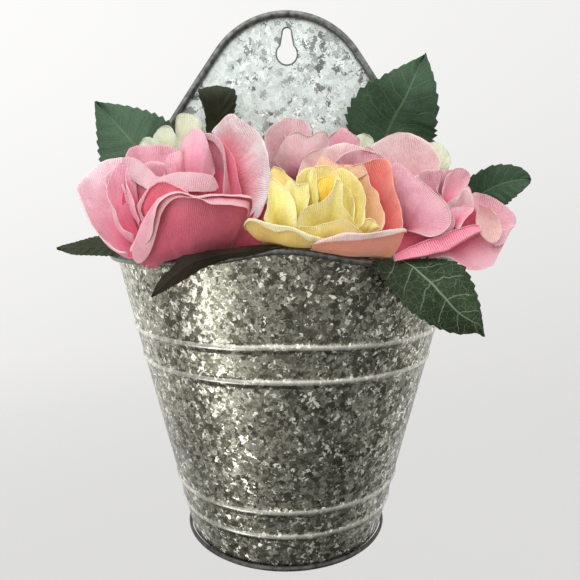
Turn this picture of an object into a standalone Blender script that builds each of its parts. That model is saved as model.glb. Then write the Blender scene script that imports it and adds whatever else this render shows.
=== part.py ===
"""Roses in a hanging tin: a galvanised half-bucket wall planter filled with fabric roses.

Frame: metres, +Z up. The origin is on the rear face of the back plate, which lies
on the wall, at the height of the tin's rim. The wall is the plane y = 0 and the
tin stands out from it towards -Y.
"""

import math

import bmesh
import bpy
from mathutils import Matrix, Vector

MM = 0.001
GAP = 0.35 * MM  # running gap between two pieces that touch

# ---------------------------------------------------------------- driving sizes
SHEET = 0.6 * MM  # thickness of the galvanised sheet
RIM_HALF_WIDTH = 90.0 * MM
BASE_HALF_WIDTH = 53.5 * MM
TIN_HEIGHT = 151.0 * MM
RIM_DEPTH_RATIO = 0.86  # depth over half width, at the rim
BASE_DEPTH_RATIO = 1.04  # and at the base
LIP_RISE = 6.5 * MM  # how far the middle of the front lip is pushed up
LIP_RISE_SPREAD = 0.30  # its spread along the rim, in radians
SIDE_RISE = 2.8 * MM  # how far the rim bows up from the plate to the front
RIB_HEIGHTS = [113.4 * MM, 97.8 * MM, 31.0 * MM, 17.4 * MM]  # above the base
RIB_RISE = 1.5 * MM
RIB_HALF_HEIGHT = 2.4 * MM

WIRE_RADIUS = 0.8 * MM  # wires inside the rolled hems
HEM_INNER = WIRE_RADIUS + 0.5 * MM
HEM_OUTER = HEM_INNER + 0.5 * MM

PLATE_TOP = 123.0 * MM  # highest point of the back plate's hem
PLATE_ARCH_RADIUS = 45.5 * MM
PLATE_SHOULDER_HEIGHT = 46.0 * MM
PLATE_SHOULDER_HALF_WIDTH = 84.0 * MM
KEYHOLE_CENTRE = 102.0 * MM  # height of the round hole's centre above the rim
KEYHOLE_RADIUS = 5.5 * MM
KEYHOLE_SLOT_RADIUS = 2.5 * MM
KEYHOLE_SLOT_RISE = 10.5 * MM  # slot's end centre above the round hole's centre

FOAM_TOP = -34.0 * MM
FOAM_CLEARANCE = 1.0 * MM

STEM_RADIUS = 1.6 * MM
STEM_DEPTH = 62.0 * MM  # how far each stem is pushed into the foam
STALK_DEPTH = 24.0 * MM  # and each leaf's stalk
STALK_HALF_WIDTH = 0.8 * MM
CALYX_RADIUS = 6.6 * MM
CALYX_LENGTH = 9.0 * MM
PETAL = 0.7 * MM  # thickness of a stiffened fabric petal
LEAF = 0.8 * MM

FOOT_PROFILE = [(-2.2, 1.5), (-1.2, 2.4), (0.4, 2.4), (1.2, 1.3), (3.0, 0.95)]  # height, outward, mm

HEM_CENTRE = HEM_OUTER + 0.02 * MM  # the plate's hem stays just off the wall
PLATE_FRONT = -SHEET
WALL_BACK = PLATE_FRONT - GAP  # where the tin's half round ends
BASE_LEVEL = -TIN_HEIGHT

GALVANISED = ("galvanised_steel", (0.42, 0.43, 0.41), 0.38, 0.9)
DARK_STEEL = ("hem_steel", (0.25, 0.25, 0.24), 0.45, 0.9)
WIRE_STEEL = ("wire_steel", (0.35, 0.35, 0.35), 0.5, 0.9)
FOAM_GREEN = ("floral_foam", (0.16, 0.27, 0.13), 0.95, 0.0)
STEM_GREEN = ("stem_green", (0.11, 0.2, 0.06), 0.5, 0.0)
LEAF_GREEN = ("leaf_green", (0.05, 0.14, 0.06), 0.6, 0.0)
PINK = ("pink_fabric", (0.85, 0.32, 0.44), 0.75, 0.0)
PALE_PINK = ("pale_pink_fabric", (0.88, 0.5, 0.58), 0.75, 0.0)
YELLOW = ("yellow_fabric", (0.95, 0.72, 0.22), 0.75, 0.0)
PEACH = ("peach_fabric", (0.92, 0.42, 0.32), 0.75, 0.0)
CREAM = ("cream_fabric", (0.9, 0.86, 0.66), 0.75, 0.0)


# ------------------------------------------------------------------- toolbox
def clear_scene():
    """Remove every object of the start-up file."""
    for obj in list(bpy.data.objects):
        bpy.data.objects.remove(obj)


def material(finish):
    """The Principled material for a (name, colour, roughness, metallic) finish."""
    name, colour, roughness, metallic = finish
    found = bpy.data.materials.get(name)
    if found:
        return found
    made = bpy.data.materials.new(name)
    made.use_nodes = True
    shader = made.node_tree.nodes["Principled BSDF"]
    shader.inputs["Base Color"].default_value = (*colour, 1.0)
    shader.inputs["Roughness"].default_value = roughness
    shader.inputs["Metallic"].default_value = metallic
    return made


def object_from(name, points, faces, finish):
    """A named mesh object with outward normals."""
    mesh = bpy.data.meshes.new(name)
    mesh.from_pydata(points, [], faces)
    shape = bmesh.new()
    shape.from_mesh(mesh)
    bmesh.ops.recalc_face_normals(shape, faces=shape.faces)
    shape.to_mesh(mesh)
    shape.free()
    mesh.shade_smooth()
    mesh.set_sharp_from_angle(angle=math.radians(40))
    mesh.materials.append(material(finish))
    obj = bpy.data.objects.new(name, mesh)
    bpy.context.scene.collection.objects.link(obj)
    return obj


def thick_sheet(name, front, back, finish):
    """A closed sheet between two grids of points with the same layout."""
    rows, columns = len(front), len(front[0])
    points = [p for row in front for p in row] + [p for row in back for p in row]
    offset = rows * columns
    faces = []
    for i in range(rows - 1):
        for j in range(columns - 1):
            a = i * columns + j
            b, c, d = a + 1, a + columns + 1, a + columns
            faces.append((a, b, c, d))
            faces.append((d + offset, c + offset, b + offset, a + offset))
    border = [j for j in range(columns)]
    border += [i * columns + columns - 1 for i in range(1, rows)]
    border += [(rows - 1) * columns + j for j in range(columns - 2, -1, -1)]
    border += [i * columns for i in range(rows - 2, 0, -1)]
    for a, b in zip(border, border[1:] + border[:1]):
        faces.append((b, a, a + offset, b + offset))
    return object_from(name, points, faces, finish)


def offset_grid(grid, distance):
    """The grid moved along its own surface normals by a distance."""
    rows, columns = len(grid), len(grid[0])
    moved = []
    for i in range(rows):
        row = []
        for j in range(columns):
            along = grid[min(i + 1, rows - 1)][j] - grid[max(i - 1, 0)][j]
            across = grid[i][min(j + 1, columns - 1)] - grid[i][max(j - 1, 0)]
            row.append(grid[i][j] + along.cross(across).normalized() * distance)
        moved.append(row)
    return moved


def tube(name, path, radii, sides, finish):
    """A round bar along a path, with its own radius at each point."""
    points, faces = [], []
    side = (path[1] - path[0]).orthogonal().normalized()
    for i, centre in enumerate(path):
        ahead = path[min(i + 1, len(path) - 1)] - path[max(i - 1, 0)]
        ahead.normalize()
        side = (side - ahead * side.dot(ahead)).normalized()
        other = ahead.cross(side)
        for k in range(sides):
            turn = math.tau * k / sides
            spoke = side * math.cos(turn) + other * math.sin(turn)
            points.append(centre + spoke * radii[i])
    for i in range(len(path) - 1):
        for k in range(sides):
            a, b = i * sides + k, i * sides + (k + 1) % sides
            faces.append((a, b, b + sides, a + sides))
    faces.append(tuple(range(sides)))
    faces.append(tuple(range((len(path) - 1) * sides, len(path) * sides)))
    return object_from(name, points, faces, finish)


def prism(name, low_outline, high_outline, finish):
    """A closed block between two outlines with the same number of points."""
    count = len(low_outline)
    faces = [tuple(range(count)), tuple(range(count, 2 * count))]
    for k in range(count):
        following = (k + 1) % count
        faces.append((k, following, following + count, k + count))
    return object_from(name, low_outline + high_outline, faces, finish)


def boolean(target, other, operation):
    """Join or cut the target with another object, which is then removed."""
    bpy.context.view_layer.objects.active = target
    modifier = target.modifiers.new(operation.lower(), "BOOLEAN")
    modifier.operation = operation
    modifier.object = other
    bpy.ops.object.modifier_apply(modifier=modifier.name)
    bpy.data.objects.remove(other)
    return target


def bezier(a, b, c, d, t):
    """A point on a cubic Bezier curve, for vectors of any length."""
    s = 1 - t
    return a * s**3 + b * (3 * s * s * t) + c * (3 * s * t * t) + d * t**3


# ----------------------------------------------------------------------- tin
def half_width(height):
    """Outer half width of the tin's wall at a height above its base."""
    share = height / TIN_HEIGHT
    return BASE_HALF_WIDTH + (RIM_HALF_WIDTH - BASE_HALF_WIDTH) * share


def depth_ratio(height):
    """Depth over half width of the tin at a height above its base."""
    share = height / TIN_HEIGHT
    return BASE_DEPTH_RATIO + (RIM_DEPTH_RATIO - BASE_DEPTH_RATIO) * share


def lip_rise(turn, height):
    """Rise of the bowed rim and its pushed-up front lip, fading out down the wall."""
    fade = max(0.0, height / TIN_HEIGHT) ** 6
    spread = (turn - math.pi / 2) / LIP_RISE_SPREAD
    return fade * (LIP_RISE * math.exp(-spread * spread) + SIDE_RISE * math.sin(turn))


def wall_point(turn, height, outward=0.0, raised=0.0):
    """A point of the tin's wall. turn runs from 0 at +X through pi / 2 in front."""
    ratio = depth_ratio(height)
    reach = half_width(height) + outward
    depth = half_width(height) * ratio + outward
    return Vector(
        (
            reach * math.cos(turn),
            WALL_BACK - depth * math.sin(turn),
            BASE_LEVEL + height + raised + lip_rise(turn, height),
        )
    )


def wall_profile():
    """(height, outward, raised) of the wall's outer and inner side, base to hem."""
    outer, inner = [], []
    heights = [4.0 * MM, 10.0 * MM]
    for rib in sorted(RIB_HEIGHTS):
        for share in (-1.0, -0.5, 0.0, 0.5, 1.0):
            heights.append(rib + share * RIB_HALF_HEIGHT)
    heights += [64.0 * MM, 132.0 * MM, TIN_HEIGHT - 5.0 * MM]
    for height in sorted(heights):
        rise = 0.0
        for rib in RIB_HEIGHTS:
            share = abs(height - rib) / RIB_HALF_HEIGHT
            if share < 1.0:
                rise += RIB_RISE * 0.5 * (1 + math.cos(math.pi * share))
        outer.append((height, rise, 0.0))
        inner.append((height, rise - SHEET, 0.0))
    steps = 7
    for k in range(steps + 1):  # the hem rolls outwards round its wire
        angle = math.pi - math.radians(300) * k / steps
        for side, radius in ((outer, HEM_INNER), (inner, HEM_OUTER)):
            outward = HEM_INNER + radius * math.cos(angle)
            raised = radius * math.sin(angle) - HEM_OUTER
            side.append((TIN_HEIGHT, outward, raised))
    return outer, inner


def turns(count):
    """Even steps round the half circle from +X to -X."""
    return [math.pi * k / count for k in range(count + 1)]


def build_tin_body():
    """The half-round wall with its pressed ribs and rolled rim."""
    outer, inner = wall_profile()
    steps = turns(24)
    front = [[wall_point(t, *p) for p in outer] for t in steps]
    back = [[wall_point(t, *p) for p in inner] for t in steps]
    return thick_sheet("tin_body", front, back, GALVANISED)


def build_rim_wire():
    """The wire inside the rolled rim."""
    path = [
        wall_point(t, TIN_HEIGHT, HEM_INNER, -HEM_OUTER) for t in turns(24)
    ]
    return tube("rim_wire", path, [WIRE_RADIUS] * len(path), 6, WIRE_STEEL)


def arc(centre_x, centre_z, radius, start, end, count):
    """(x, z) points on an arc, angles in degrees."""
    points = []
    for k in range(count + 1):
        angle = math.radians(start + (end - start) * k / count)
        x = centre_x + radius * math.cos(angle)
        points.append((x, centre_z + radius * math.sin(angle)))
    return points


def arch_outline(inset):
    """The back plate's edge above the rim, from +X over the top to -X."""
    centre_z = PLATE_TOP - PLATE_ARCH_RADIUS
    radius = PLATE_ARCH_RADIUS - inset
    slope = 35.0  # degrees from upright of the straight flanks
    arch = arc(0.0, centre_z, radius, slope, 90.0, 6)
    flank = Vector((arch[0][0], arch[0][1]))
    shoulder = Vector((PLATE_SHOULDER_HALF_WIDTH - inset, PLATE_SHOULDER_HEIGHT))
    corner = Vector((half_width(TIN_HEIGHT) + 1.0 * MM - inset, 2.0 * MM))
    down = Vector((math.sin(math.radians(slope)), -math.cos(math.radians(slope))))
    handle = (shoulder - flank).length * 0.55
    right = []
    for k in range(9):
        above = corner + Vector((0.0, 26.0 * MM))
        right.append(bezier(corner, above, flank + down * handle, flank, k / 8))
    right = [(p.x, p.y) for p in right] + arch[1:]
    left = [(-x, z) for x, z in reversed(right[:-1])]
    return right + left


def build_back_plate():
    """The arched flat plate with its keyhole and rolled edge."""
    lower = []
    for share in (1.0, 0.5, 0.0):
        height = share * TIN_HEIGHT
        edge = half_width(height) + 1.0 * MM
        lower.append((-edge, BASE_LEVEL + height))
    outline = arch_outline(HEM_OUTER) + lower + [(-x, z) for x, z in reversed(lower)]
    slot_angle = math.degrees(math.asin(KEYHOLE_SLOT_RADIUS / KEYHOLE_RADIUS))
    hole = arc(0.0, KEYHOLE_CENTRE, KEYHOLE_RADIUS, 90.0 + slot_angle + 22.0,
               450.0 - slot_angle - 22.0, 14)
    hole += arc(0.0, KEYHOLE_CENTRE + KEYHOLE_SLOT_RISE, KEYHOLE_SLOT_RADIUS,
                -8.0, 188.0, 8)
    shape = bmesh.new()
    edges = []
    for loop in (outline, hole):
        corners = [shape.verts.new((x, 0.0, z)) for x, z in loop]
        for a, b in zip(corners, corners[1:] + corners[:1]):
            edges.append(shape.edges.new((a, b)))
    filled = bmesh.ops.triangle_fill(
        shape, edges=edges, use_beauty=True, normal=(0.0, 1.0, 0.0)
    )
    faces = [f for f in filled["geom"] if isinstance(f, bmesh.types.BMFace)]
    pushed = bmesh.ops.extrude_face_region(shape, geom=faces)
    moved = [v for v in pushed["geom"] if isinstance(v, bmesh.types.BMVert)]
    bmesh.ops.translate(shape, verts=moved, vec=(0.0, -SHEET, 0.0))
    bmesh.ops.recalc_face_normals(shape, faces=shape.faces)
    mesh = bpy.data.meshes.new("back_plate")
    shape.to_mesh(mesh)
    shape.free()
    mesh.materials.append(material(GALVANISED))
    plate = bpy.data.objects.new("back_plate", mesh)
    bpy.context.scene.collection.objects.link(plate)
    return boolean(plate, build_arch_hem(), "UNION")


def arch_frames():
    """Point, outward direction for the hem's centre line along the arch."""
    line = [Vector((x, 0.0, z)) for x, z in arch_outline(HEM_OUTER)]
    frames = []
    for i, point in enumerate(line):
        ahead = line[min(i + 1, len(line) - 1)] - line[max(i - 1, 0)]
        out = Vector((ahead.z, 0.0, -ahead.x)).normalized()
        frames.append((point, out))
    return frames


def build_arch_hem():
    """The plate's edge rolled forwards round its wire."""
    front, back = [], []
    steps = 8
    forward = Vector((0.0, -1.0, 0.0))
    for point, out in arch_frames():
        outer_row, inner_row = [], []
        for k in range(steps + 1):
            angle = math.radians(-100 + 300 * k / steps)
            spoke = out * math.cos(angle) + forward * math.sin(angle)
            centre = point + forward * HEM_CENTRE
            outer_row.append(centre + spoke * HEM_OUTER)
            inner_row.append(centre + spoke * HEM_INNER)
        front.append(outer_row)
        back.append(inner_row)
    return thick_sheet("arch_hem", front, back, GALVANISED)


def build_arch_wire():
    """The wire inside the back plate's rolled edge."""
    path = [p + Vector((0.0, -HEM_CENTRE, 0.0)) for p, _ in arch_frames()]
    return tube("arch_wire", path, [WIRE_RADIUS] * len(path), 6, WIRE_STEEL)


def half_round(height, outward, back_y):
    """A half-round outline with a straight back edge, at a height above the base."""
    reach = half_width(height) + outward
    depth = half_width(height) * depth_ratio(height) + outward
    level = BASE_LEVEL + height
    points = []
    for t in turns(24):
        y = min(WALL_BACK - depth * math.sin(t), back_y)
        points.append(Vector((reach * math.cos(t), y, level)))
    return points


def build_base_pan():
    """The half-round bottom, turned up outside the wall as a foot ring."""
    floor = 2.0 * MM
    low = half_round(floor, GAP + 0.5 * SHEET, WALL_BACK)
    high = [p + Vector((0.0, 0.0, SHEET)) for p in low]
    pan = prism("base_pan", low, high, DARK_STEEL)
    front, back = [], []
    for t in turns(24):
        front.append([wall_point(t, h * MM, out * MM) for h, out in FOOT_PROFILE])
        back.append([wall_point(t, h * MM, GAP) for h, _ in FOOT_PROFILE])
    ring = thick_sheet("foot_ring", front, back, DARK_STEEL)
    return boolean(pan, ring, "UNION")


# --------------------------------------------------------------------- roses
class Rose:
    """A fabric rose: where its petals meet, which way it faces, and how big it is."""

    def __init__(self, name, base, facing, spin, size, rings, finishes):
        self.name = name
        self.base = Vector(base) * MM
        self.axis = Vector(facing).normalized()
        self.spin = math.radians(spin)
        self.reach, self.flat, self.height = size[0] * MM, size[1] / size[0], size[2] * MM
        self.rings = rings  # (petal count, size share, tallness) from the outside in
        self.finishes = finishes
        side = Vector((1.0, 0.0, 0.0))
        side = (side - self.axis * side.dot(self.axis)).normalized()
        turned = Matrix((side, self.axis.cross(side), self.axis)).transposed()
        self.place = Matrix.Translation(self.base) @ turned.to_4x4()

    def point(self, turn, radius, height):
        """A point at a turn, radius and height about the rose's own axis."""
        across, deep = math.cos(turn), math.sin(turn)
        flat = 1.0 + (self.flat - 1.0) * min(1.0, radius / self.reach)
        return self.place @ Vector((radius * across, radius * deep * flat, height))

    def bowl(self, share, size, tall):
        """(radius, height) of a petal's middle line, from its foot to its lip."""
        foot = Vector((5.4 * MM, 0.0))
        belly = Vector((self.reach * 0.95, 0.0))
        upper = Vector((self.reach * 0.92, self.height * 0.55 * tall))
        lip = Vector((self.reach, self.height * tall))
        return bezier(foot, belly, upper, lip, share) * size

    def petal(self, turn, half_span, ring, finish, name):
        """One petal, a patch of the rose's bowl with a round lip."""
        rows, columns = 6, 6
        _, size, tall = self.rings[ring]
        floor = PETAL + GAP + ring * (PETAL + GAP)
        grid = []
        for j in range(columns):
            across = -1 + 2 * j / (columns - 1)
            line = []
            for i in range(rows):
                share = (i / (rows - 1)) * (1 - 0.25 * abs(across) ** 2.5)
                radius, height = self.bowl(share, size, tall)
                spread = 0.55 + 0.45 * math.sin(math.pi * min(1.0, share * 1.25) / 2)
                angle = self.spin + turn + across * half_span * spread
                line.append(self.point(angle, radius, height + floor))
            grid.append(line)
        return thick_sheet(name, grid, offset_grid(grid, PETAL), finish)

    def heart(self):
        """The tight middle of the rose, one closed bud."""
        size = self.rings[-1][1]
        floor = len(self.rings) * (PETAL + GAP) + GAP
        path, radii = [self.point(0.0, 0.0, floor)], [4.5 * MM * size]
        for k in range(1, 7):
            share = k / 6
            radius, height = self.bowl(share, size * 0.62, 1.2)
            path.append(self.point(0.0, 0.0, height + floor))
            radii.append(radius * self.flat * 0.9 * (1 - 0.5 * share**3))
        return tube(self.name + "_heart", path, radii, 8, self.finishes[-1])

    def stem(self, foot):
        """The green calyx cup and the stem, bent down into the foam."""
        foot = Vector((foot[0] * MM, foot[1] * MM, FOAM_TOP))
        below = self.base - self.axis * CALYX_LENGTH
        path = [self.base - self.axis * (GAP + share * CALYX_LENGTH)
                for share in (0.0, 0.35, 0.75)]
        radii = [CALYX_RADIUS, CALYX_RADIUS * 0.86, STEM_RADIUS * 1.5]
        drop = max(12.0 * MM, (below.z - foot.z) * 0.5)
        upright = Vector((0.0, 0.0, drop))
        for k in range(1, 7):
            path.append(
                bezier(below, below - self.axis * drop * 0.6, foot + upright, foot, k / 6)
            )
            radii.append(STEM_RADIUS)
        path.append(foot - Vector((0.0, 0.0, STEM_DEPTH)))
        radii.append(STEM_RADIUS)
        return tube(self.name + "_stem", path, radii, 7, STEM_GREEN)

    def build(self, foot):
        """The rose's petals ring by ring, its heart and its stem."""
        number = 0
        for ring, (count, _, _) in enumerate(self.rings):
            half_span = math.pi / count * 0.94
            for k in range(count):
                number += 1
                turn = math.tau * (k + 0.5 * ring) / count
                finish = self.finishes[min(ring, len(self.finishes) - 1)]
                name = f"{self.name}_petal_{number}"
                self.petal(turn, half_span, ring, finish, name)
        self.heart()
        self.stem(foot)


# -------------------------------------------------------------------- leaves
def along_route(points, share):
    """A point on the smooth line through the points, share from 0 to 1."""
    count = len(points) - 1
    place = min(share * count, count - 1e-9)
    k = int(place)
    t = place - k
    before = points[max(k - 1, 0)]
    start, end = points[k], points[k + 1]
    after = points[min(k + 2, count)]
    lead = (end - before) / 6 if k > 0 else (end - start) / 3
    trail = (after - start) / 6 if k < count - 1 else (end - start) / 3
    return bezier(start, start + lead, end - trail, end, t)


class Leaf:
    """A leaf whose stalk is pushed into the foam, from the foam up to its tip."""

    def __init__(self, name, stalk, blade, facing, width):
        self.name = name
        foot = Vector((stalk[0][0], stalk[0][1], 0.0)) * MM
        self.foot = Vector((foot.x, foot.y, FOAM_TOP))
        below = self.foot - Vector((0.0, 0.0, STALK_DEPTH))
        above = self.foot + Vector((0.0, 0.0, 8.0 * MM))
        self.stalk = [below, self.foot, above] + [Vector(p) * MM for p in stalk[1:]]
        self.route = self.stalk + [Vector(p) * MM for p in blade]
        self.facing = Vector(facing).normalized()
        self.width = width * MM
        self.blade_start = (len(self.stalk) - 1) / (len(self.route) - 1)

    def half_width_at(self, share):
        """Half the blade's width along the leaf, and the stalk's before it."""
        along = max(0.0, (share - self.blade_start) / (1 - self.blade_start))
        blade = 0.5 * self.width * math.sin(math.pi * along**0.72) ** 0.85
        return max(STALK_HALF_WIDTH * (1 - 0.7 * along), blade)

    def build(self):
        """The blade with its folded midrib, in one piece with the stalk."""
        shares = [self.blade_start * k / 6 for k in range(7)]
        shares += [self.blade_start + (1 - self.blade_start) * k / 8 for k in range(1, 9)]
        grid = []
        for across in (-1.0, -0.5, 0.0, 0.5, 1.0):
            line = []
            for share in shares:
                ahead = along_route(self.route, min(1.0, share + 0.01))
                ahead -= along_route(self.route, max(0.0, share - 0.01))
                side = ahead.cross(self.facing).normalized()
                up = side.cross(ahead).normalized()
                reach = self.half_width_at(share)
                lift = abs(across) * reach * 0.22
                centre = along_route(self.route, share)
                line.append(centre + side * across * reach + up * lift)
            grid.append(line)
        return thick_sheet(self.name, grid, offset_grid(grid, LEAF), LEAF_GREEN)


# ------------------------------------------------------------------ assembly
def roses():
    """Every rose with the place its stem enters the foam, in millimetres."""
    outer, inner = (4, 1.0, 1.0), (3, 0.62, 1.35)
    return [
        (
            Rose("left_rose", (-51, -50, 14), (-0.1, -0.22, 1.0), 20, (40, 29, 42),
                 [outer, inner], [PINK]),
            (-40, -40),
        ),
        (
            Rose("front_rose", (13, -54, 26), (0.0, -0.6, 0.8), 45, (27, 28, 26),
                 [outer, inner], [PEACH, YELLOW]),
            (12, -44),
        ),
        (
            Rose("right_rose", (69, -50, 12), (0.08, -0.22, 1.0), 45, (33, 28, 42),
                 [outer, inner], [PINK]),
            (50, -34),
        ),
        (
            Rose("back_rose", (4, -18, 38), (0.0, -0.05, 1.0), 45, (21, 14, 30),
                 [outer], [PALE_PINK]),
            (4, -20),
        ),
        (
            Rose("cream_rose_left", (-50, -12, 42), (0.0, -0.05, 1.0), 0, (11.5, 9.5, 19),
                 [outer], [CREAM]),
            (-30, -14),
        ),
        (
            Rose("cream_rose_right", (49, -12, 40), (0.0, -0.05, 1.0), 0, (13, 9.5, 20),
                 [outer], [CREAM]),
            (34, -14),
        ),
    ]


def leaves():
    """Every leaf: its stalk's and its blade's points in millimetres."""
    return [
        Leaf("leaf_left_high", [(-64, -12), (-72, -9, 20), (-74, -9, 46)],
             [(-80, -13, 59), (-95, -20, 75)], (0.2, -1.0, -0.1), 22),
        Leaf("leaf_left_low", [(-62, -26), (-75, -24, 5)],
             [(-94, -30, 8), (-114, -36, 6)], (0.0, -0.5, 1.0), 15),
        Leaf("leaf_upright", [(-16, -12), (-27, -11, 20), (-28, -5, 60)],
             [(-32, -7, 69), (-37, -14, 83)], (0.0, -1.0, 0.1), 17),
        Leaf("leaf_right_high", [(66, -10), (72, -8, 24), (75, -7, 58)],
             [(73, -8, 75), (70, -14, 97)], (0.0, -1.0, 0.1), 34),
        Leaf("leaf_right_tip", [(62, -26), (76, -20, 13), (97, -24, 30)],
             [(104, -28, 30), (117, -34, 38)], (0.4, -1.0, 0.2), 14),
        Leaf("leaf_front_right", [(30, -58), (34, -66, 5), (46, -80, 4)],
             [(63, -87, -8), (87, -84, -31)], (0.2, -1.0, 0.5), 22),
        Leaf("leaf_front_left", [(-4, -60), (-6, -68, 10), (-18, -84, 9)],
             [(-34, -92, 2), (-55, -92, -11)], (-0.1, -1.0, 0.7), 18),
    ]


def build_foam(planted):
    """The dry foam block that fills the tin, bored for stems and stalks."""
    inset = -SHEET - FOAM_CLEARANCE
    floor = 4.0 * MM
    low = half_round(floor, inset, WALL_BACK)
    high = half_round(FOAM_TOP - BASE_LEVEL, inset, WALL_BACK)
    foam = prism("foam_block", low, high, FOAM_GREEN)
    for x, y, radius, depth in planted:
        bore = [Vector((x, y, FOAM_TOP + 5.0 * MM)), Vector((x, y, FOAM_TOP - depth))]
        boolean(foam, tube("bore", bore, [radius] * 2, 7, FOAM_GREEN), "DIFFERENCE")
    return foam


def main():
    """Build every piece of the tin, its foam, the roses and their leaves."""
    clear_scene()
    build_tin_body()
    build_rim_wire()
    build_back_plate()
    build_arch_wire()
    build_base_pan()
    planted = []
    for rose, foot in roses():
        rose.build(foot)
        planted.append((foot[0] * MM, foot[1] * MM, STEM_RADIUS + 1.3 * GAP, STEM_DEPTH + GAP))
    for leaf in leaves():
        leaf.build()
        planted.append((leaf.foot.x, leaf.foot.y, 1.7 * MM, STALK_DEPTH + GAP))
    build_foam(planted)


main()
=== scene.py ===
"""Roses in a hanging tin: galvanised sheet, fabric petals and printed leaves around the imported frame."""

from __future__ import annotations

import logging
import math
from dataclasses import dataclass, replace
from enum import Enum
from functools import cache
from typing import Callable, Sequence

import bpy
import numpy as np
from mathutils import Matrix, Vector


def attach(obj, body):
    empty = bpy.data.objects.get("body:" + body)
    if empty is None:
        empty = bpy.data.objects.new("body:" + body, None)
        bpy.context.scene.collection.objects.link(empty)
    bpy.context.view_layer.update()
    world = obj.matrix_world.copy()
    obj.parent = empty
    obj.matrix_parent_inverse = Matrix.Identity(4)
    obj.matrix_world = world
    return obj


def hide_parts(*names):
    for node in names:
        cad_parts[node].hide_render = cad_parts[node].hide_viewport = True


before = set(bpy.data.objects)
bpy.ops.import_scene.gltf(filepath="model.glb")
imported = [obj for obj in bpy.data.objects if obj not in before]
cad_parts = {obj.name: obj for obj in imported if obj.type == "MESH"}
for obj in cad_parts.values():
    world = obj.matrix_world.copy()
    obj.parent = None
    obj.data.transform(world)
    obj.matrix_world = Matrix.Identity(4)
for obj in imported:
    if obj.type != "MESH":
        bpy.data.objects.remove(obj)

LOG = logging.getLogger("hanging_tin")
MM = 0.001
LINE_STEPS = 160  # places read along a drawn line
RIB_SPAN = 40 * MM
RIBS = 42.0  # pressed ribs across one span of fabric
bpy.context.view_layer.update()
Point = tuple[float, float, float]
Colour = tuple[float, float, float]


# ---------------------------------------------------------------------------
# Shader maths
# ---------------------------------------------------------------------------
class Signal:
    """A number that runs through a finish's nodes, with Python's own operators."""

    def __init__(self, recipe: Recipe, socket: bpy.types.NodeSocket) -> None:
        """Keeps the recipe that the number belongs to and the output that carries it."""
        self.recipe = recipe
        self.socket = socket

    def maths(self, operation: str, *others: Signal | float) -> Signal:
        """Adds one Math node on this number and the others."""
        return self.recipe.maths(operation, self, *others)

    def __add__(self, other: Signal | float) -> Signal:
        """Sum."""
        return self.maths("ADD", other)

    __radd__ = __add__

    def __sub__(self, other: Signal | float) -> Signal:
        """Difference."""
        return self.maths("SUBTRACT", other)

    def __rsub__(self, other: Signal | float) -> Signal:
        """Difference, the other way round."""
        return self.recipe.maths("SUBTRACT", other, self)

    def __mul__(self, other: Signal | float) -> Signal:
        """Product."""
        return self.maths("MULTIPLY", other)

    __rmul__ = __mul__

    def __pow__(self, other: Signal | float) -> Signal:
        """Power."""
        return self.maths("POWER", other)

    def above(self, low: float, high: float) -> Signal:
        """Adds a smooth step.

        Args:
            low: where the step leaves 0.
            high: where it reaches 1.

        Returns:
            The step.
        """
        settings = {"interpolation_type": "SMOOTHSTEP"}
        inputs = {"Value": self, "From Min": low, "From Max": high}
        return Signal(self.recipe, self.recipe.node("ShaderNodeMapRange", settings, inputs).outputs["Result"])


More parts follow.
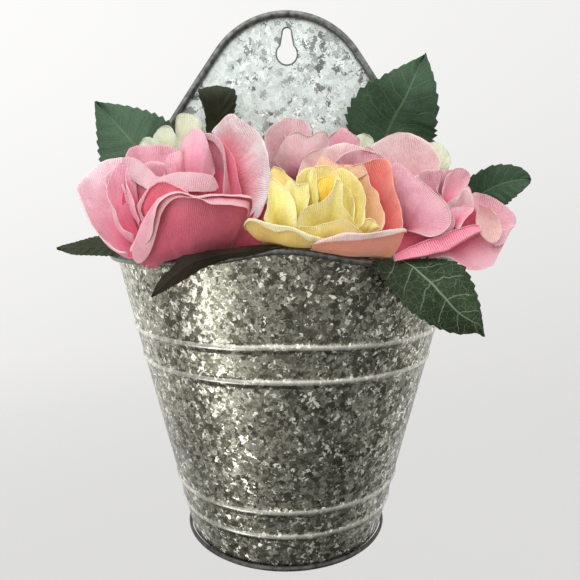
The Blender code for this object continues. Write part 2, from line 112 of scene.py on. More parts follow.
class Recipe:
    """One finish or the studio's light, and the few ways its nodes are added."""

    def __init__(self, owner: bpy.types.Material | bpy.types.World) -> None:
        """Takes over the owner's nodes.

        Args:
            owner: the material or the world.
        """
        self.owner = owner
        owner.use_nodes = True
        self.tree = owner.node_tree

    @classmethod
    def named(cls, name: str) -> Recipe:
        """Starts a new material of that name."""
        return cls(bpy.data.materials.new(name))

    def node(self, kind: str, settings: dict | None = None, inputs: dict | None = None) -> bpy.types.Node:
        """Adds a node.

        Args:
            kind: the node's type name.
            settings: its own settings, such as an operation, set first.
            inputs: values or links for its sockets, by name or number.

        Returns:
            The node.
        """
        made = self.tree.nodes.new(kind)
        for key, value in (settings or {}).items():
            if key == "stops":
                self._stops(made, value)
            else:
                setattr(made, key, value)
        for key, value in (inputs or {}).items():
            self.plug(made.inputs[key], value)
        return made

    @staticmethod
    def _stops(ramp: bpy.types.Node, stops: Sequence[tuple[float, Colour]]) -> None:
        """Sets a colour ramp's stops.

        Args:
            ramp: the ramp's node.
            stops: each stop's place and colour.
        """
        elements = ramp.color_ramp.elements
        while len(elements) < len(stops):
            elements.new(0.5)
        for element, (place, colour) in zip(elements, stops):
            element.position = place
            element.color = (*colour, 1.0)

    def plug(self, socket: bpy.types.NodeSocket, value: object) -> None:
        """Links a signal or an output to a socket, or sets the socket's own value.

        Args:
            socket: the input.
            value: a signal, an output, a colour, a vector or a number.
        """
        if isinstance(value, Signal):
            self.tree.links.new(value.socket, socket)
        elif isinstance(value, bpy.types.NodeSocket):
            self.tree.links.new(value, socket)
        elif isinstance(value, tuple) and len(value) == 3 and socket.type == "RGBA":
            socket.default_value = (*value, 1.0)
        else:
            socket.default_value = value

    def maths(self, operation: str, *values: Signal | float) -> Signal:
        """Adds one Math node on the values, joined in order."""
        node = self.node("ShaderNodeMath", {"operation": operation}, dict(enumerate(values)))
        return Signal(self, node.outputs[0])

    def vector(self, operation: str, *values: object) -> bpy.types.NodeSocket:
        """Adds one Vector Math node on the values, joined in order."""
        node = self.node("ShaderNodeVectorMath", {"operation": operation}, dict(enumerate(values)))
        return node.outputs[0]

    def split(self, vector: object) -> tuple[Signal, ...]:
        """The three parts of a vector or a colour."""
        return tuple(Signal(self, part) for part in self.node("ShaderNodeSeparateXYZ", None, {0: vector}).outputs)

    def place(self) -> bpy.types.NodeSocket:
        """The place on the piece, in metres."""
        return self.node("ShaderNodeTexCoord").outputs["Object"]

    def across_along(self) -> tuple[Signal, ...]:
        """The piece's own map: the share across it and the share along it."""
        return self.split(self.node("ShaderNodeUVMap", {"uv_map": "UVMap"}).outputs[0])[:2]

    def noise(self, scale: float, detail: float = 3.0, where: object = None) -> Signal:
        """Soft noise between about 0.2 and 0.8."""
        inputs = {"Vector": where or self.place(), "Scale": scale, "Detail": detail}
        return Signal(self, self.node("ShaderNodeTexNoise", None, inputs).outputs[0])

    def ramp(self, source: Signal, *stops: tuple[float, Colour]) -> Signal:
        """A colour read from the source between (place, colour) stops."""
        return Signal(self, self.node("ShaderNodeValToRGB", {"stops": stops}, {0: source}).outputs[0])

    def mix(self, share: Signal | float, first: object, second: object, way: str = "MIX") -> Signal:
        """Two colours mixed by a share."""
        settings = {"data_type": "RGBA", "blend_type": way}
        return Signal(self, self.node("ShaderNodeMix", settings, {0: share, 6: first, 7: second}).outputs[2])

    def relief(self, height: Signal, depth: float, strength: float = 1.0) -> bpy.types.NodeSocket:
        """A bumped normal, depth in metres for a height of 1."""
        inputs = {"Height": height, "Distance": depth, "Strength": strength}
        return self.node("ShaderNodeBump", None, inputs).outputs[0]

    def finish(self, **sockets: object) -> bpy.types.Material:
        """Sets the shader's sockets, with _ for a space in their names.

        Args:
            sockets: the value or link of each socket.

        Returns:
            The material.
        """
        shader = self.tree.nodes["Principled BSDF"]
        for key, value in sockets.items():
            self.plug(shader.inputs[key.replace("_", " ").title().replace("Ior", "IOR")], value)
        return self.owner


# ---------------------------------------------------------------------------
# Finishes
# ---------------------------------------------------------------------------
MIDDLE = (0.5, 0.5, 0.5)  # taken off a noise colour to swing it both ways


def grey(level: float, warm: float = 0.0) -> Colour:
    """A grey of that level, a little warmer or cooler."""
    return (level * (1 + warm), level, level * (1 - 1.5 * warm))


@dataclass(frozen=True)
class Spangle:
    """Hot-dip galvanised sheet: zinc crystals that each catch the light their own way."""

    name: str
    ground: tuple[Colour, Colour]
    crystals: tuple[Colour, Colour]
    # the brightest crystals' colour: the spangle's own pattern, painted near-white as glints
    glint_flake_colour: Colour
    size: float  # a large crystal, in millimetres
    share: float  # how much of the sheet stays ground
    glint_flake_rarity: float  # how rare the brightest crystals are, painted near-white as glints
    tilt: float  # how far crystals lean
    metallic: float
    roughness: float
    stain: float
    fade: float = 0.0  # painted shade: how much darker the sheet is low down, so its highlight fades downwards
    # painted highlight: the brighter zinc colour mixed onto the ribs
    rib_highlight_colour: Colour | None = None
    rib_highlight_share: float = 0.48
    edge_wander: tuple[float, float] = (700.0, 1.3)  # noise scale, and reach as a share of the size
    crystal_steps: tuple[float, float] = (1.0, 2.1)
    stain_scale: float = 42.0
    grain_scale: float = 1500.0

    def colour(self, r: Recipe, big: Sequence[Signal], small: Sequence[Signal], grain: Signal) -> Signal:
        """The zinc's colour, with its painted low shade, before the painted rib highlight.

        Args:
            r: the recipe.
            big: three random numbers for each large crystal.
            small: three for each small crystal.
            grain: the fine grain.

        Returns:
            The colour.
        """
        drift = (r.noise(self.stain_scale, 4.0) - 0.5) * self.stain
        ground = r.ramp(big[1] + drift, (0.1, self.ground[0]), (0.9, self.ground[1]))
        shining = (big[0] * 0.6 + small[1] * 0.4 + drift).above(self.share, self.share + 0.05)
        crystal = r.ramp(small[0], (0.1, self.crystals[0]), (0.9, self.crystals[1]))
        # the brightest crystals: partly the spangle's own pattern, partly painted glints
        glint_flake_mask = (big[2] * 0.55 + small[2] * 0.45).above(self.glint_flake_rarity, self.glint_flake_rarity + 0.03)
        metal = r.mix(glint_flake_mask, r.mix(shining, ground, crystal), self.glint_flake_colour)
        metal = r.mix(0.45, metal, r.ramp(grain, (0.36, grey(0.2)), (0.64, grey(0.8))), "OVERLAY")
        # painted shade: the sheet darkened low down, so the reflected highlight fades downwards
        painted_low_dim = 1.0 - (1.0 - r.split(r.place())[2].above(-0.15, 0.02)) * self.fade
        return r.mix(1.0, metal, r.ramp(painted_low_dim, (0.0, grey(0.0)), (1.0, grey(1.0))), "MULTIPLY")

    def make(self) -> bpy.types.Material:
        """Builds the material.

        Returns:
            The zinc, with a painted highlight and flatter crystals on the ribs, where the piece's rubbed
            attribute is high.
        """
        r = Recipe.named(self.name)
        scale, reach = self.edge_wander
        warp = r.node("ShaderNodeTexNoise", None, {"Vector": r.place(), "Scale": scale, "Detail": 4.0})
        shift = r.vector("SUBTRACT", warp.outputs["Color"], MIDDLE)
        bent = r.vector("MULTIPLY_ADD", shift, (self.size * reach * MM,) * 3, r.place())
        scales = [step / (self.size * MM) for step in self.crystal_steps]
        spots = [r.node("ShaderNodeTexVoronoi", None, {"Vector": bent, "Scale": scale}) for scale in scales]
        cells = [spot.outputs["Color"] for spot in spots]
        big, small = (r.split(cell) for cell in cells)
        grain = r.noise(self.grain_scale, 3.0)
        metal = self.colour(r, big, small, grain)
        leans = [r.vector("SUBTRACT", cell, MIDDLE) for cell in cells]
        # painted highlight on the ribs: the colour mixed towards a brighter zinc, and the crystals there lean
        # less
        if self.rib_highlight_colour:
            rib_highlight = Signal(r, r.node("ShaderNodeAttribute", {"attribute_name": "rubbed"}).outputs["Fac"])
            rib_highlight = (rib_highlight + (grain - 0.5) * 0.8).above(0.25, 0.75)
            metal = r.mix(rib_highlight * self.rib_highlight_share, metal, self.rib_highlight_colour)
            for k, flattened in enumerate((0.85, 0.7)):
                settings = {"operation": "SCALE"}
                inputs = {0: leans[k], "Scale": 1.0 - rib_highlight * flattened}
                leans[k] = r.node("ShaderNodeVectorMath", settings, inputs).outputs[0]
        normal = r.relief(grain, 0.05 * MM, 0.5)
        for lean, tilt in zip(leans, (self.tilt, self.tilt * 0.7)):
            normal = r.vector("MULTIPLY_ADD", lean, (tilt,) * 3, normal)
        rough = small[2] * 0.16 + (self.roughness - 0.08)
        normal = r.vector("NORMALIZE", normal)
        return r.finish(base_color=metal, metallic=self.metallic, roughness=rough, normal=normal)


@dataclass(frozen=True)
class Dull:
    """A plain matt or satin finish with a little mottling, for wire, hems, foam and plastic."""

    name: str
    low: Colour
    high: Colour
    grain: float
    bump: float
    metallic: float
    roughness: float

    @cache
    def make(self) -> bpy.types.Material:
        """Builds the material, once.

        Returns:
            The finish.
        """
        r = Recipe.named(self.name)
        mottle = r.noise(self.grain, 4.0)
        return r.finish(
            base_color=r.ramp(mottle, (0.3, self.low), (0.7, self.high)),
            metallic=self.metallic,
            roughness=mottle * 0.2 + (self.roughness - 0.1),
            normal=r.relief(mottle, self.bump * MM, 0.8),
        )


@dataclass(frozen=True)
class Weave:
    """How closely the patterns of pressed fabric repeat, per metre, and how deep they are."""

    blotch: float = 70.0
    rib_wander: float = 130.0
    rib_patches: float = 85.0
    rib_breaks: float = 900.0
    threads: float = 2600.0
    pleat_drift: float = 18.0
    crumple: float = 95.0
    depth: float = 0.9 * MM


WEAVE = Weave()


@dataclass(frozen=True)
class Dye:
    """Fabric dyed from the foot of a petal to its lip."""

    foot: Colour
    body: Colour
    lip: Colour
    body_at: float = 0.45
    lip_at: float = 0.85
    # how strongly painted shade darkens the hollows between the ribs
    groove_shade: float = 0.8

    def make(self, name: str) -> bpy.types.Material:
        """Builds the material.

        Args:
            name: the material's name.

        Returns:
            The ribbed, pleated fabric, with painted shade in its pleats and between its ribs.
        """
        r = Recipe.named(name)
        across, along = r.across_along()
        shade = along + (r.noise(WEAVE.blotch, 3.0) - 0.5) * 0.22
        colour = r.ramp(shade, (0.08, self.foot), (self.body_at, self.body), (self.lip_at, self.lip))
        wave = (across * (RIBS * math.tau) + r.noise(WEAVE.rib_wander, 4.0) * 10.0).maths("SINE") * 0.5 + 0.5
        patch = r.noise(WEAVE.rib_patches, 2.0).above(0.40, 0.62)
        broken = r.noise(WEAVE.rib_breaks, 2.0).above(0.30, 0.62)
        groove = wave**1.3 * (patch * 0.55 + 0.45) * (broken * 0.5 + 0.5)
        drift = r.noise(WEAVE.pleat_drift, 1.0) * 9.0
        fan = r.node("ShaderNodeCombineXYZ", None, {0: across * 8.0, 1: along * 1.5, 2: drift})
        pleat = r.noise(1.0, 2.0, fan.outputs[0])
        toward_foot = 1.1 - along
        # painted shade: a darker mix of foot and body colour, laid into the pleats towards the foot and between
        # the ribs
        deep = tuple((a * 0.62 + b * 0.38) * 0.9 for a, b in zip(self.foot, self.body))
        colour = r.mix(pleat.above(0.46, 0.72) * toward_foot * 0.5, colour, deep)
        colour = r.mix(groove * self.groove_shade, colour, deep)
        threads = r.noise(WEAVE.threads, 2.0)
        # the threads' speckle, with painted shade between the ribs
        cast = r.ramp(threads * 0.8 - groove * 0.25, (0.12, grey(0.72)), (0.42, grey(1.0)))
        crumple = r.noise(WEAVE.crumple, 3.0)
        height = threads * 0.15 - groove * 0.3 + crumple * 3.0 - pleat * toward_foot * 1.8
        return r.finish(
            base_color=r.mix(0.7, colour, cast, "MULTIPLY"),
            roughness=0.78,
            normal=r.relief(height, WEAVE.depth, 0.55),
            sheen_weight=0.25,
            sheen_roughness=0.5,
            subsurface_weight=0.25,
            subsurface_radius=(0.9, 0.45, 0.45),
            subsurface_scale=2.2 * MM,
        )


@dataclass(frozen=True)
class Cloth:
    """A petal fabric: its inner face, its outer face, its cut edge and the record's slot for it."""

    inner: Dye
    outer: Dye
    edge: Colour
    slot: str = "pink_fabric"

    @cache
    def make(self, name: str) -> tuple[bpy.types.Material, ...]:
        """The materials for the inner face, the outer face and the cut edge, made once."""
        cut = Dye(self.edge, self.edge, self.edge).make(f"{name}_cut_edge")
        return self.inner.make(f"{name}_inside"), self.outer.make(f"{name}_outside"), cut


class Fabric(Enum):
    """The petal fabrics by their look."""

    PINK = Cloth(
        Dye((0.84, 0.09, 0.20), (0.95, 0.33, 0.45), (0.96, 0.56, 0.64)),
        Dye((0.80, 0.09, 0.19), (0.94, 0.34, 0.45), (0.95, 0.55, 0.62)),
        (0.93, 0.52, 0.58),
    )
    SOFT = Cloth(
        Dye((0.86, 0.13, 0.24), (0.97, 0.51, 0.61), (0.94, 0.78, 0.80), 0.42, 0.92),
        Dye((0.80, 0.09, 0.19), (0.94, 0.34, 0.45), (0.92, 0.62, 0.66), 0.5, 0.92),
        (0.94, 0.76, 0.74),
    )
    # painted highlight: the body band brighter than the foot and the darker lip, a light line along the rolled
    # tube
    ROLLED = Cloth(
        Dye((0.72, 0.055, 0.13), (0.93, 0.32, 0.42), (0.90, 0.20, 0.31), 0.5, 1.0, 1.0),
        Dye((0.66, 0.05, 0.12), (0.93, 0.32, 0.42), (0.90, 0.20, 0.31), 0.5, 1.0, 1.0),
        (0.93, 0.50, 0.54),
    )
    # painted shade: a deeper pink for the filler petals put where hollows between petals lie in shade
    HOT = Cloth(
        Dye((0.72, 0.055, 0.13), (0.86, 0.14, 0.24), (0.90, 0.26, 0.36), 0.35, 0.9),
        Dye((0.72, 0.055, 0.13), (0.88, 0.17, 0.27), (0.80, 0.10, 0.18), 0.35, 0.9),
        (0.93, 0.50, 0.54),
    )
    ROSE = Cloth(
        Dye((0.78, 0.07, 0.17), (0.86, 0.27, 0.35), (0.86, 0.42, 0.48), 0.45, 0.85),
        Dye((0.90, 0.10, 0.18), (0.98, 0.19, 0.27), (0.95, 0.37, 0.42), 0.5, 0.95),
        (0.94, 0.80, 0.72),
    )
    PALE = Cloth(
        Dye((0.70, 0.08, 0.16), (0.77, 0.30, 0.38), (0.72, 0.46, 0.50), 0.35, 0.85),
        Dye((0.70, 0.08, 0.16), (0.77, 0.30, 0.38), (0.72, 0.46, 0.50), 0.4, 0.88),
        (0.95, 0.84, 0.76),
    )
    # painted shade: a pale pink darkened for the back rose, which sits in shade; the small cup wears it too
    DUSKY = Cloth(
        Dye((0.60, 0.12, 0.18), (0.77, 0.36, 0.42), (0.82, 0.58, 0.59), 0.35, 0.85),
        Dye((0.60, 0.14, 0.20), (0.76, 0.38, 0.43), (0.80, 0.58, 0.57), 0.35, 0.85),
        (0.86, 0.74, 0.68), "pale_pink_fabric",
    )
    FADED = Cloth(
        Dye((0.74, 0.06, 0.12), (0.88, 0.47, 0.53), (0.86, 0.82, 0.82), 0.36, 0.64, 1.0),
        Dye((0.70, 0.07, 0.13), (0.86, 0.36, 0.42), (0.86, 0.66, 0.68), 0.40, 0.80, 1.0),
        (0.95, 0.84, 0.76),
    )
    SHELL = Cloth(
        Dye((0.70, 0.28, 0.28), (0.76, 0.43, 0.40), (0.78, 0.52, 0.47), 0.35, 0.85),
        Dye((0.70, 0.28, 0.28), (0.76, 0.43, 0.40), (0.78, 0.52, 0.47), 0.35, 0.85),
        (0.94, 0.80, 0.70), "pale_pink_fabric",
    )
    BLUSH = Cloth(
        Dye((0.86, 0.20, 0.30), (0.93, 0.50, 0.54), (0.93, 0.70, 0.67), 0.35, 0.8),
        Dye((0.84, 0.20, 0.30), (0.92, 0.48, 0.53), (0.92, 0.68, 0.66), 0.35, 0.8),
        (0.94, 0.84, 0.77),
    )
    LILAC = Cloth(
        Dye((0.74, 0.12, 0.24), (0.82, 0.37, 0.45), (0.82, 0.54, 0.59), 0.35, 0.8, 0.9),
        Dye((0.74, 0.13, 0.25), (0.78, 0.34, 0.42), (0.78, 0.47, 0.52), 0.35, 0.85, 0.9),
        (0.93, 0.76, 0.76),
    )
    YELLOW = Cloth(
        Dye((0.97, 0.58, 0.05), (1.0, 0.83, 0.19), (1.0, 0.88, 0.40), 0.35, 0.85, 0.6),
        Dye((0.98, 0.64, 0.08), (1.0, 0.87, 0.24), (1.0, 0.91, 0.46), 0.35, 0.85, 0.6),
        (0.98, 0.92, 0.60), "yellow_fabric",
    )
    GOLD = Cloth(
        Dye((0.90, 0.42, 0.02), (0.96, 0.62, 0.05), (0.97, 0.74, 0.14)),
        Dye((0.90, 0.42, 0.02), (0.95, 0.60, 0.05), (0.97, 0.74, 0.14)),
        (0.98, 0.86, 0.40), "yellow_fabric",
    )
    CORAL = Cloth(
        Dye((0.84, 0.12, 0.11), (0.93, 0.185, 0.18), (0.95, 0.42, 0.32), 0.6, 0.99),
        Dye((0.84, 0.22, 0.14), (0.90, 0.34, 0.26), (0.88, 0.46, 0.42), 0.4, 0.9),
        (0.96, 0.70, 0.52), "peach_fabric",
    )
    PEACH = Cloth(
        Dye((0.94, 0.52, 0.12), (0.96, 0.58, 0.28), (0.95, 0.56, 0.38), 0.45, 0.9),
        Dye((0.94, 0.52, 0.16), (0.95, 0.54, 0.30), (0.93, 0.58, 0.46), 0.4, 0.85),
        (0.96, 0.78, 0.58), "peach_fabric",
    )
    BUTTER = Cloth(
        Dye((0.90, 0.60, 0.10), (0.93, 0.72, 0.30), (0.86, 0.76, 0.48), 0.4, 0.8),
        Dye((0.92, 0.54, 0.08), (0.88, 0.62, 0.18), (0.80, 0.62, 0.28), 0.4, 0.9),
        (0.94, 0.88, 0.68), "yellow_fabric",
    )
    SALMON = Cloth(
        Dye((0.92, 0.62, 0.16), (0.92, 0.62, 0.44), (0.88, 0.62, 0.64), 0.4, 0.75),
        Dye((0.94, 0.36, 0.15), (0.92, 0.34, 0.24), (0.88, 0.36, 0.34), 0.4, 0.85),
        (0.94, 0.78, 0.70), "peach_fabric",
    )
    CREAM = Cloth(
        Dye((0.74, 0.70, 0.34), (0.82, 0.80, 0.52), (0.80, 0.80, 0.66)),
        Dye((0.70, 0.70, 0.38), (0.80, 0.79, 0.54), (0.78, 0.79, 0.66)),
        (0.86, 0.87, 0.78), "cream_fabric",
    )

    def materials(self) -> tuple[bpy.types.Material, ...]:
        """The inner face, the outer face and the cut edge."""
        return self.value.make(self.name.lower())


@dataclass(frozen=True)
class LeafPrint:
    """Printed leaf fabric: green blade, paler midrib and side veins."""

    name: str
    blade: Colour
    shade: Colour
    vein: Colour
    vein_share: float
    veins: float = 9.0
    gloss: float = 0.28
    nets: tuple[tuple[float, float], ...] = ((260.0, 0.035), (700.0, 0.07))  # scale and line width

    @cache
    def make(self) -> bpy.types.Material:
        """Builds the material, once.

        Returns:
            The veined print.
        """
        r = Recipe.named(self.name)
        across, along = r.across_along()
        side = (across - 0.5).maths("ABSOLUTE") * 2.0
        wobble = (r.noise(170.0, 4.0) - 0.5) * 0.55
        fan = (along - side * 0.14) * self.veins + wobble
        saw = (fan.maths("FRACT") - 0.5).maths("ABSOLUTE") * 2.0
        side_vein = saw.above(0.90, 0.985) * (1.0 - side.above(0.60, 0.95))
        rib = 1.0 - (side + wobble * 0.03).above(0.012, 0.045)
        nets = []
        for scale, wide in self.nets:
            inputs = {"Vector": r.place(), "Scale": scale}
            cells = r.node("ShaderNodeTexVoronoi", {"feature": "DISTANCE_TO_EDGE"}, inputs)
            nets.append(1.0 - Signal(r, cells.outputs[0]).above(0.0, wide))
        web, mesh = nets
        veins = (side_vein * 0.8).maths("MAXIMUM", rib).maths("MAXIMUM", web * 0.45).maths("MAXIMUM", mesh * 0.16)
        fine = r.noise(1500.0, 3.0)
        green = r.ramp(r.noise(60.0, 3.0) + (fine - 0.5) * 0.8, (0.25, self.shade), (0.75, self.blade))
        return r.finish(
            base_color=r.mix(veins * self.vein_share, green, self.vein),
            roughness=0.66,
            normal=r.relief(veins * 0.8 + fine * 0.35, 0.22 * MM, 0.6),
            specular_ior_level=self.gloss,
        )


PLATE_ZINC = Spangle(
    "plate_zinc", ((0.16, 0.17, 0.16), (0.44, 0.47, 0.45)), ((0.60, 0.65, 0.62), (0.82, 0.89, 0.86)),
    (0.90, 0.96, 0.93), size=4.2, share=0.31, glint_flake_rarity=0.80, tilt=0.07, metallic=0.5, roughness=0.45, stain=0.9,
)
WALL_ZINC = Spangle(
    "wall_zinc", ((0.09, 0.088, 0.066), (0.225, 0.22, 0.172)), ((0.30, 0.295, 0.24), (0.53, 0.525, 0.43)),
    (0.96, 0.96, 0.85), size=2.5, share=0.55, glint_flake_rarity=0.79, tilt=0.15, metallic=0.95, roughness=0.30,
    stain=0.5, fade=0.15, rib_highlight_colour=(0.76, 0.76, 0.69),
)
HEM_ZINC = Dull("hem_zinc", (0.07, 0.075, 0.07), (0.25, 0.26, 0.24), 420.0, 0.05, 0.9, 0.40)
FOOT_ZINC = Dull("foot_zinc", grey(0.03), grey(0.11, 0.04), 300.0, 0.08, 0.85, 0.5)
WIRE = Dull("bright_wire", grey(0.25), grey(0.4), 500.0, 0.03, 0.95, 0.4)
FOAM = Dull("dry_foam", (0.05, 0.10, 0.04), (0.13, 0.22, 0.09), 900.0, 0.6, 0.0, 0.95)
STEM_GREEN = Dull("stem_green", (0.05, 0.08, 0.03), (0.11, 0.15, 0.06), 350.0, 0.12, 0.0, 0.6)
STEM_BROWN = Dull("stem_brown", (0.035, 0.03, 0.018), (0.07, 0.065, 0.035), 350.0, 0.12, 0.0, 0.7)
GREEN = LeafPrint("leaf_green_face", (0.105, 0.20, 0.115), (0.06, 0.12, 0.075), (0.24, 0.34, 0.20), 0.45)
DEEP = LeafPrint("leaf_deep_face", (0.05, 0.105, 0.055), (0.02, 0.05, 0.025), (0.17, 0.25, 0.14), 0.5)
VEINED = LeafPrint(
    "leaf_veined_face", (0.035, 0.06, 0.025), (0.010, 0.020, 0.008), (0.24, 0.32, 0.20), 0.7, veins=7.0, gloss=0.2
)
DARK = LeafPrint("leaf_dark_face", (0.04, 0.048, 0.02), (0.016, 0.02, 0.009), (0.06, 0.07, 0.03), 0.3)
UNDER = LeafPrint("leaf_underside", (0.075, 0.10, 0.06), (0.035, 0.05, 0.03), (0.12, 0.14, 0.08), 0.5)
BROWN = LeafPrint(
    "leaf_brown_side", (0.036, 0.028, 0.019), (0.014, 0.011, 0.008), (0.05, 0.045, 0.03), 0.3, gloss=0.1
)


# ---------------------------------------------------------------------------
# Bench tools
# ---------------------------------------------------------------------------
def deselect() -> None:
    """Leaves edit mode and selects nothing."""
    if bpy.context.object and bpy.context.object.mode != "OBJECT":
        bpy.ops.object.mode_set(mode="OBJECT")
    bpy.ops.object.select_all(action="DESELECT")


def grid_sheet(
    name: str, columns: int, rows: int, surface: Callable[[np.ndarray, np.ndarray], np.ndarray]
) -> bpy.types.Object:
    """A grid primitive laid onto a surface.

    Args:
        name: the piece's name.
        columns: faces across.
        rows: faces along.
        surface: gives the places for shares across and along, both 0 to 1.

    Returns:
        The sheet, with its own map.
    """
    deselect()
    bpy.ops.mesh.primitive_grid_add(x_subdivisions=columns, y_subdivisions=rows, size=1.0)
    sheet = bpy.context.object
    sheet.name = sheet.data.name = name
    flat = np.zeros(len(sheet.data.vertices) * 3)
    sheet.data.vertices.foreach_get("co", flat)
    flat = flat.reshape(-1, 3)
    placed = surface(np.clip(flat[:, 0] + 0.5, 0, 1), np.clip(flat[:, 1] + 0.5, 0, 1))
    sheet.data.vertices.foreach_set("co", placed.astype(np.float32).ravel())
    sheet.data.update()
    return sheet


def finish_with(piece: bpy.types.Object, *modifiers: tuple[str, dict]) -> bpy.types.Object:
    """Adds modifiers and applies them in order.

    Args:
        piece: the object.
        modifiers: each modifier's type and settings.

    Returns:
        The same object.
    """
    deselect()
    piece.select_set(True)
    bpy.context.view_layer.objects.active = piece
    for kind, settings in modifiers:
        made = piece.modifiers.new(kind.lower(), kind)
        for key, value in settings.items():
            setattr(made, key, value)
        bpy.ops.object.modifier_apply(modifier=made.name)
    return piece


def smooth(piece: bpy.types.Object, degrees: float = 180.0) -> None:
    """Shades a piece smooth up to an angle.

    Args:
        piece: the object.
        degrees: edges sharper than this stay crisp.
    """
    piece.data.shade_smooth()
    if degrees < 180.0:
        piece.data.set_sharp_from_angle(angle=math.radians(degrees))


def dress(piece: bpy.types.Object, *materials: bpy.types.Material) -> None:
    """Gives a piece its materials.

    Args:
        piece: the object.
        materials: its materials, in slot order.
    """
    piece.data.materials.clear()
    for each in materials:
        piece.data.materials.append(each)


def turn_towards(sheet: bpy.types.Object, way: Sequence[float]) -> None:
    """Turns a sheet's faces over if they look away from a direction.

    Args:
        sheet: the sheet, still without thickness.
        way: the direction its faces should look.
    """
    normal = sum((face.normal * face.area for face in sheet.data.polygons), Vector())
    if normal.dot(Vector(way)) < 0:
        sheet.data.flip_normals()


def mount(piece: bpy.types.Object, slot: str, *nodes: str) -> None:
    """Fixes a finished piece to the frame.

    Args:
        piece: the finished piece.
        slot: the name of a material slot; not used.
        nodes: the frame's nodes that it stands for.
    """
    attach(piece, "root")
    if nodes:
        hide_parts(*nodes)
    LOG.info("%s: %d faces", piece.name, len(piece.data.polygons))


def spline(points: Sequence[Point], count: int = LINE_STEPS) -> np.ndarray:
    """A smooth line through points, in evenly spaced steps.

    Args:
        points: the points to pass through, in millimetres.
        count: how many places to return.

    Returns:
        The places, in metres.
    """
    p = np.array(points, float) * MM
    p = np.vstack([2 * p[0] - p[1], p, 2 * p[-1] - p[-2]])
    t = np.linspace(0, 1, 12, endpoint=False)[:, None]
    runs = [
        0.5 * (2 * b + (c - a) * t + (2 * a - 5 * b + 4 * c - d) * t**2 + (3 * b - a - 3 * c + d) * t**3)
        for a, b, c, d in zip(p[:-3], p[1:-2], p[2:-1], p[3:])
    ]
    line = np.vstack([*runs, p[-2][None]])
    along = np.concatenate([[0], np.cumsum(np.linalg.norm(np.diff(line, axis=0), axis=1))])
    steps = np.linspace(0, along[-1], count)
    return np.stack([np.interp(steps, along, line[:, k]) for k in range(3)], axis=1)


def read_line(line: np.ndarray, shares: np.ndarray) -> np.ndarray:
    """The places at those shares along a line of evenly spaced steps."""
    steps = np.linspace(0, 1, len(line))
    return np.stack([np.interp(shares, steps, line[:, k]) for k in range(3)], axis=1)


def unit(v: np.ndarray) -> np.ndarray:
    """Vectors scaled to length 1."""
    return v / np.maximum(np.linalg.norm(v, axis=-1, keepdims=True), 1e-12)


def bar(name: str, line: np.ndarray, radii: Sequence[float], sides: int = 12) -> bpy.types.Object:
    """A round bar along a line, made as a bevelled curve and turned into a mesh.

    Args:
        name: the piece's name.
        line: its centre line, in metres.
        radii: its radius at each place, in metres.
        sides: faces round it, a multiple of 4.

    Returns:
        The closed bar.
    """
    curve = bpy.data.curves.new(name, "CURVE")
    curve.dimensions = "3D"
    curve.bevel_depth = 1.0
    curve.bevel_resolution = sides // 4 - 1
    curve.use_fill_caps = True
    run = curve.splines.new("POLY")
    run.points.add(len(line) - 1)
    for point, place, radius in zip(run.points, line, radii):
        point.co = (*place, 1.0)
        point.radius = radius
    drawn = bpy.data.objects.new(name, curve)
    bpy.context.scene.collection.objects.link(drawn)
    deselect()
    drawn.select_set(True)
    bpy.context.view_layer.objects.active = drawn
    bpy.ops.object.convert(target="MESH")
    made = bpy.context.object
    made.name = made.data.name = name
    smooth(made, 50)
    return made


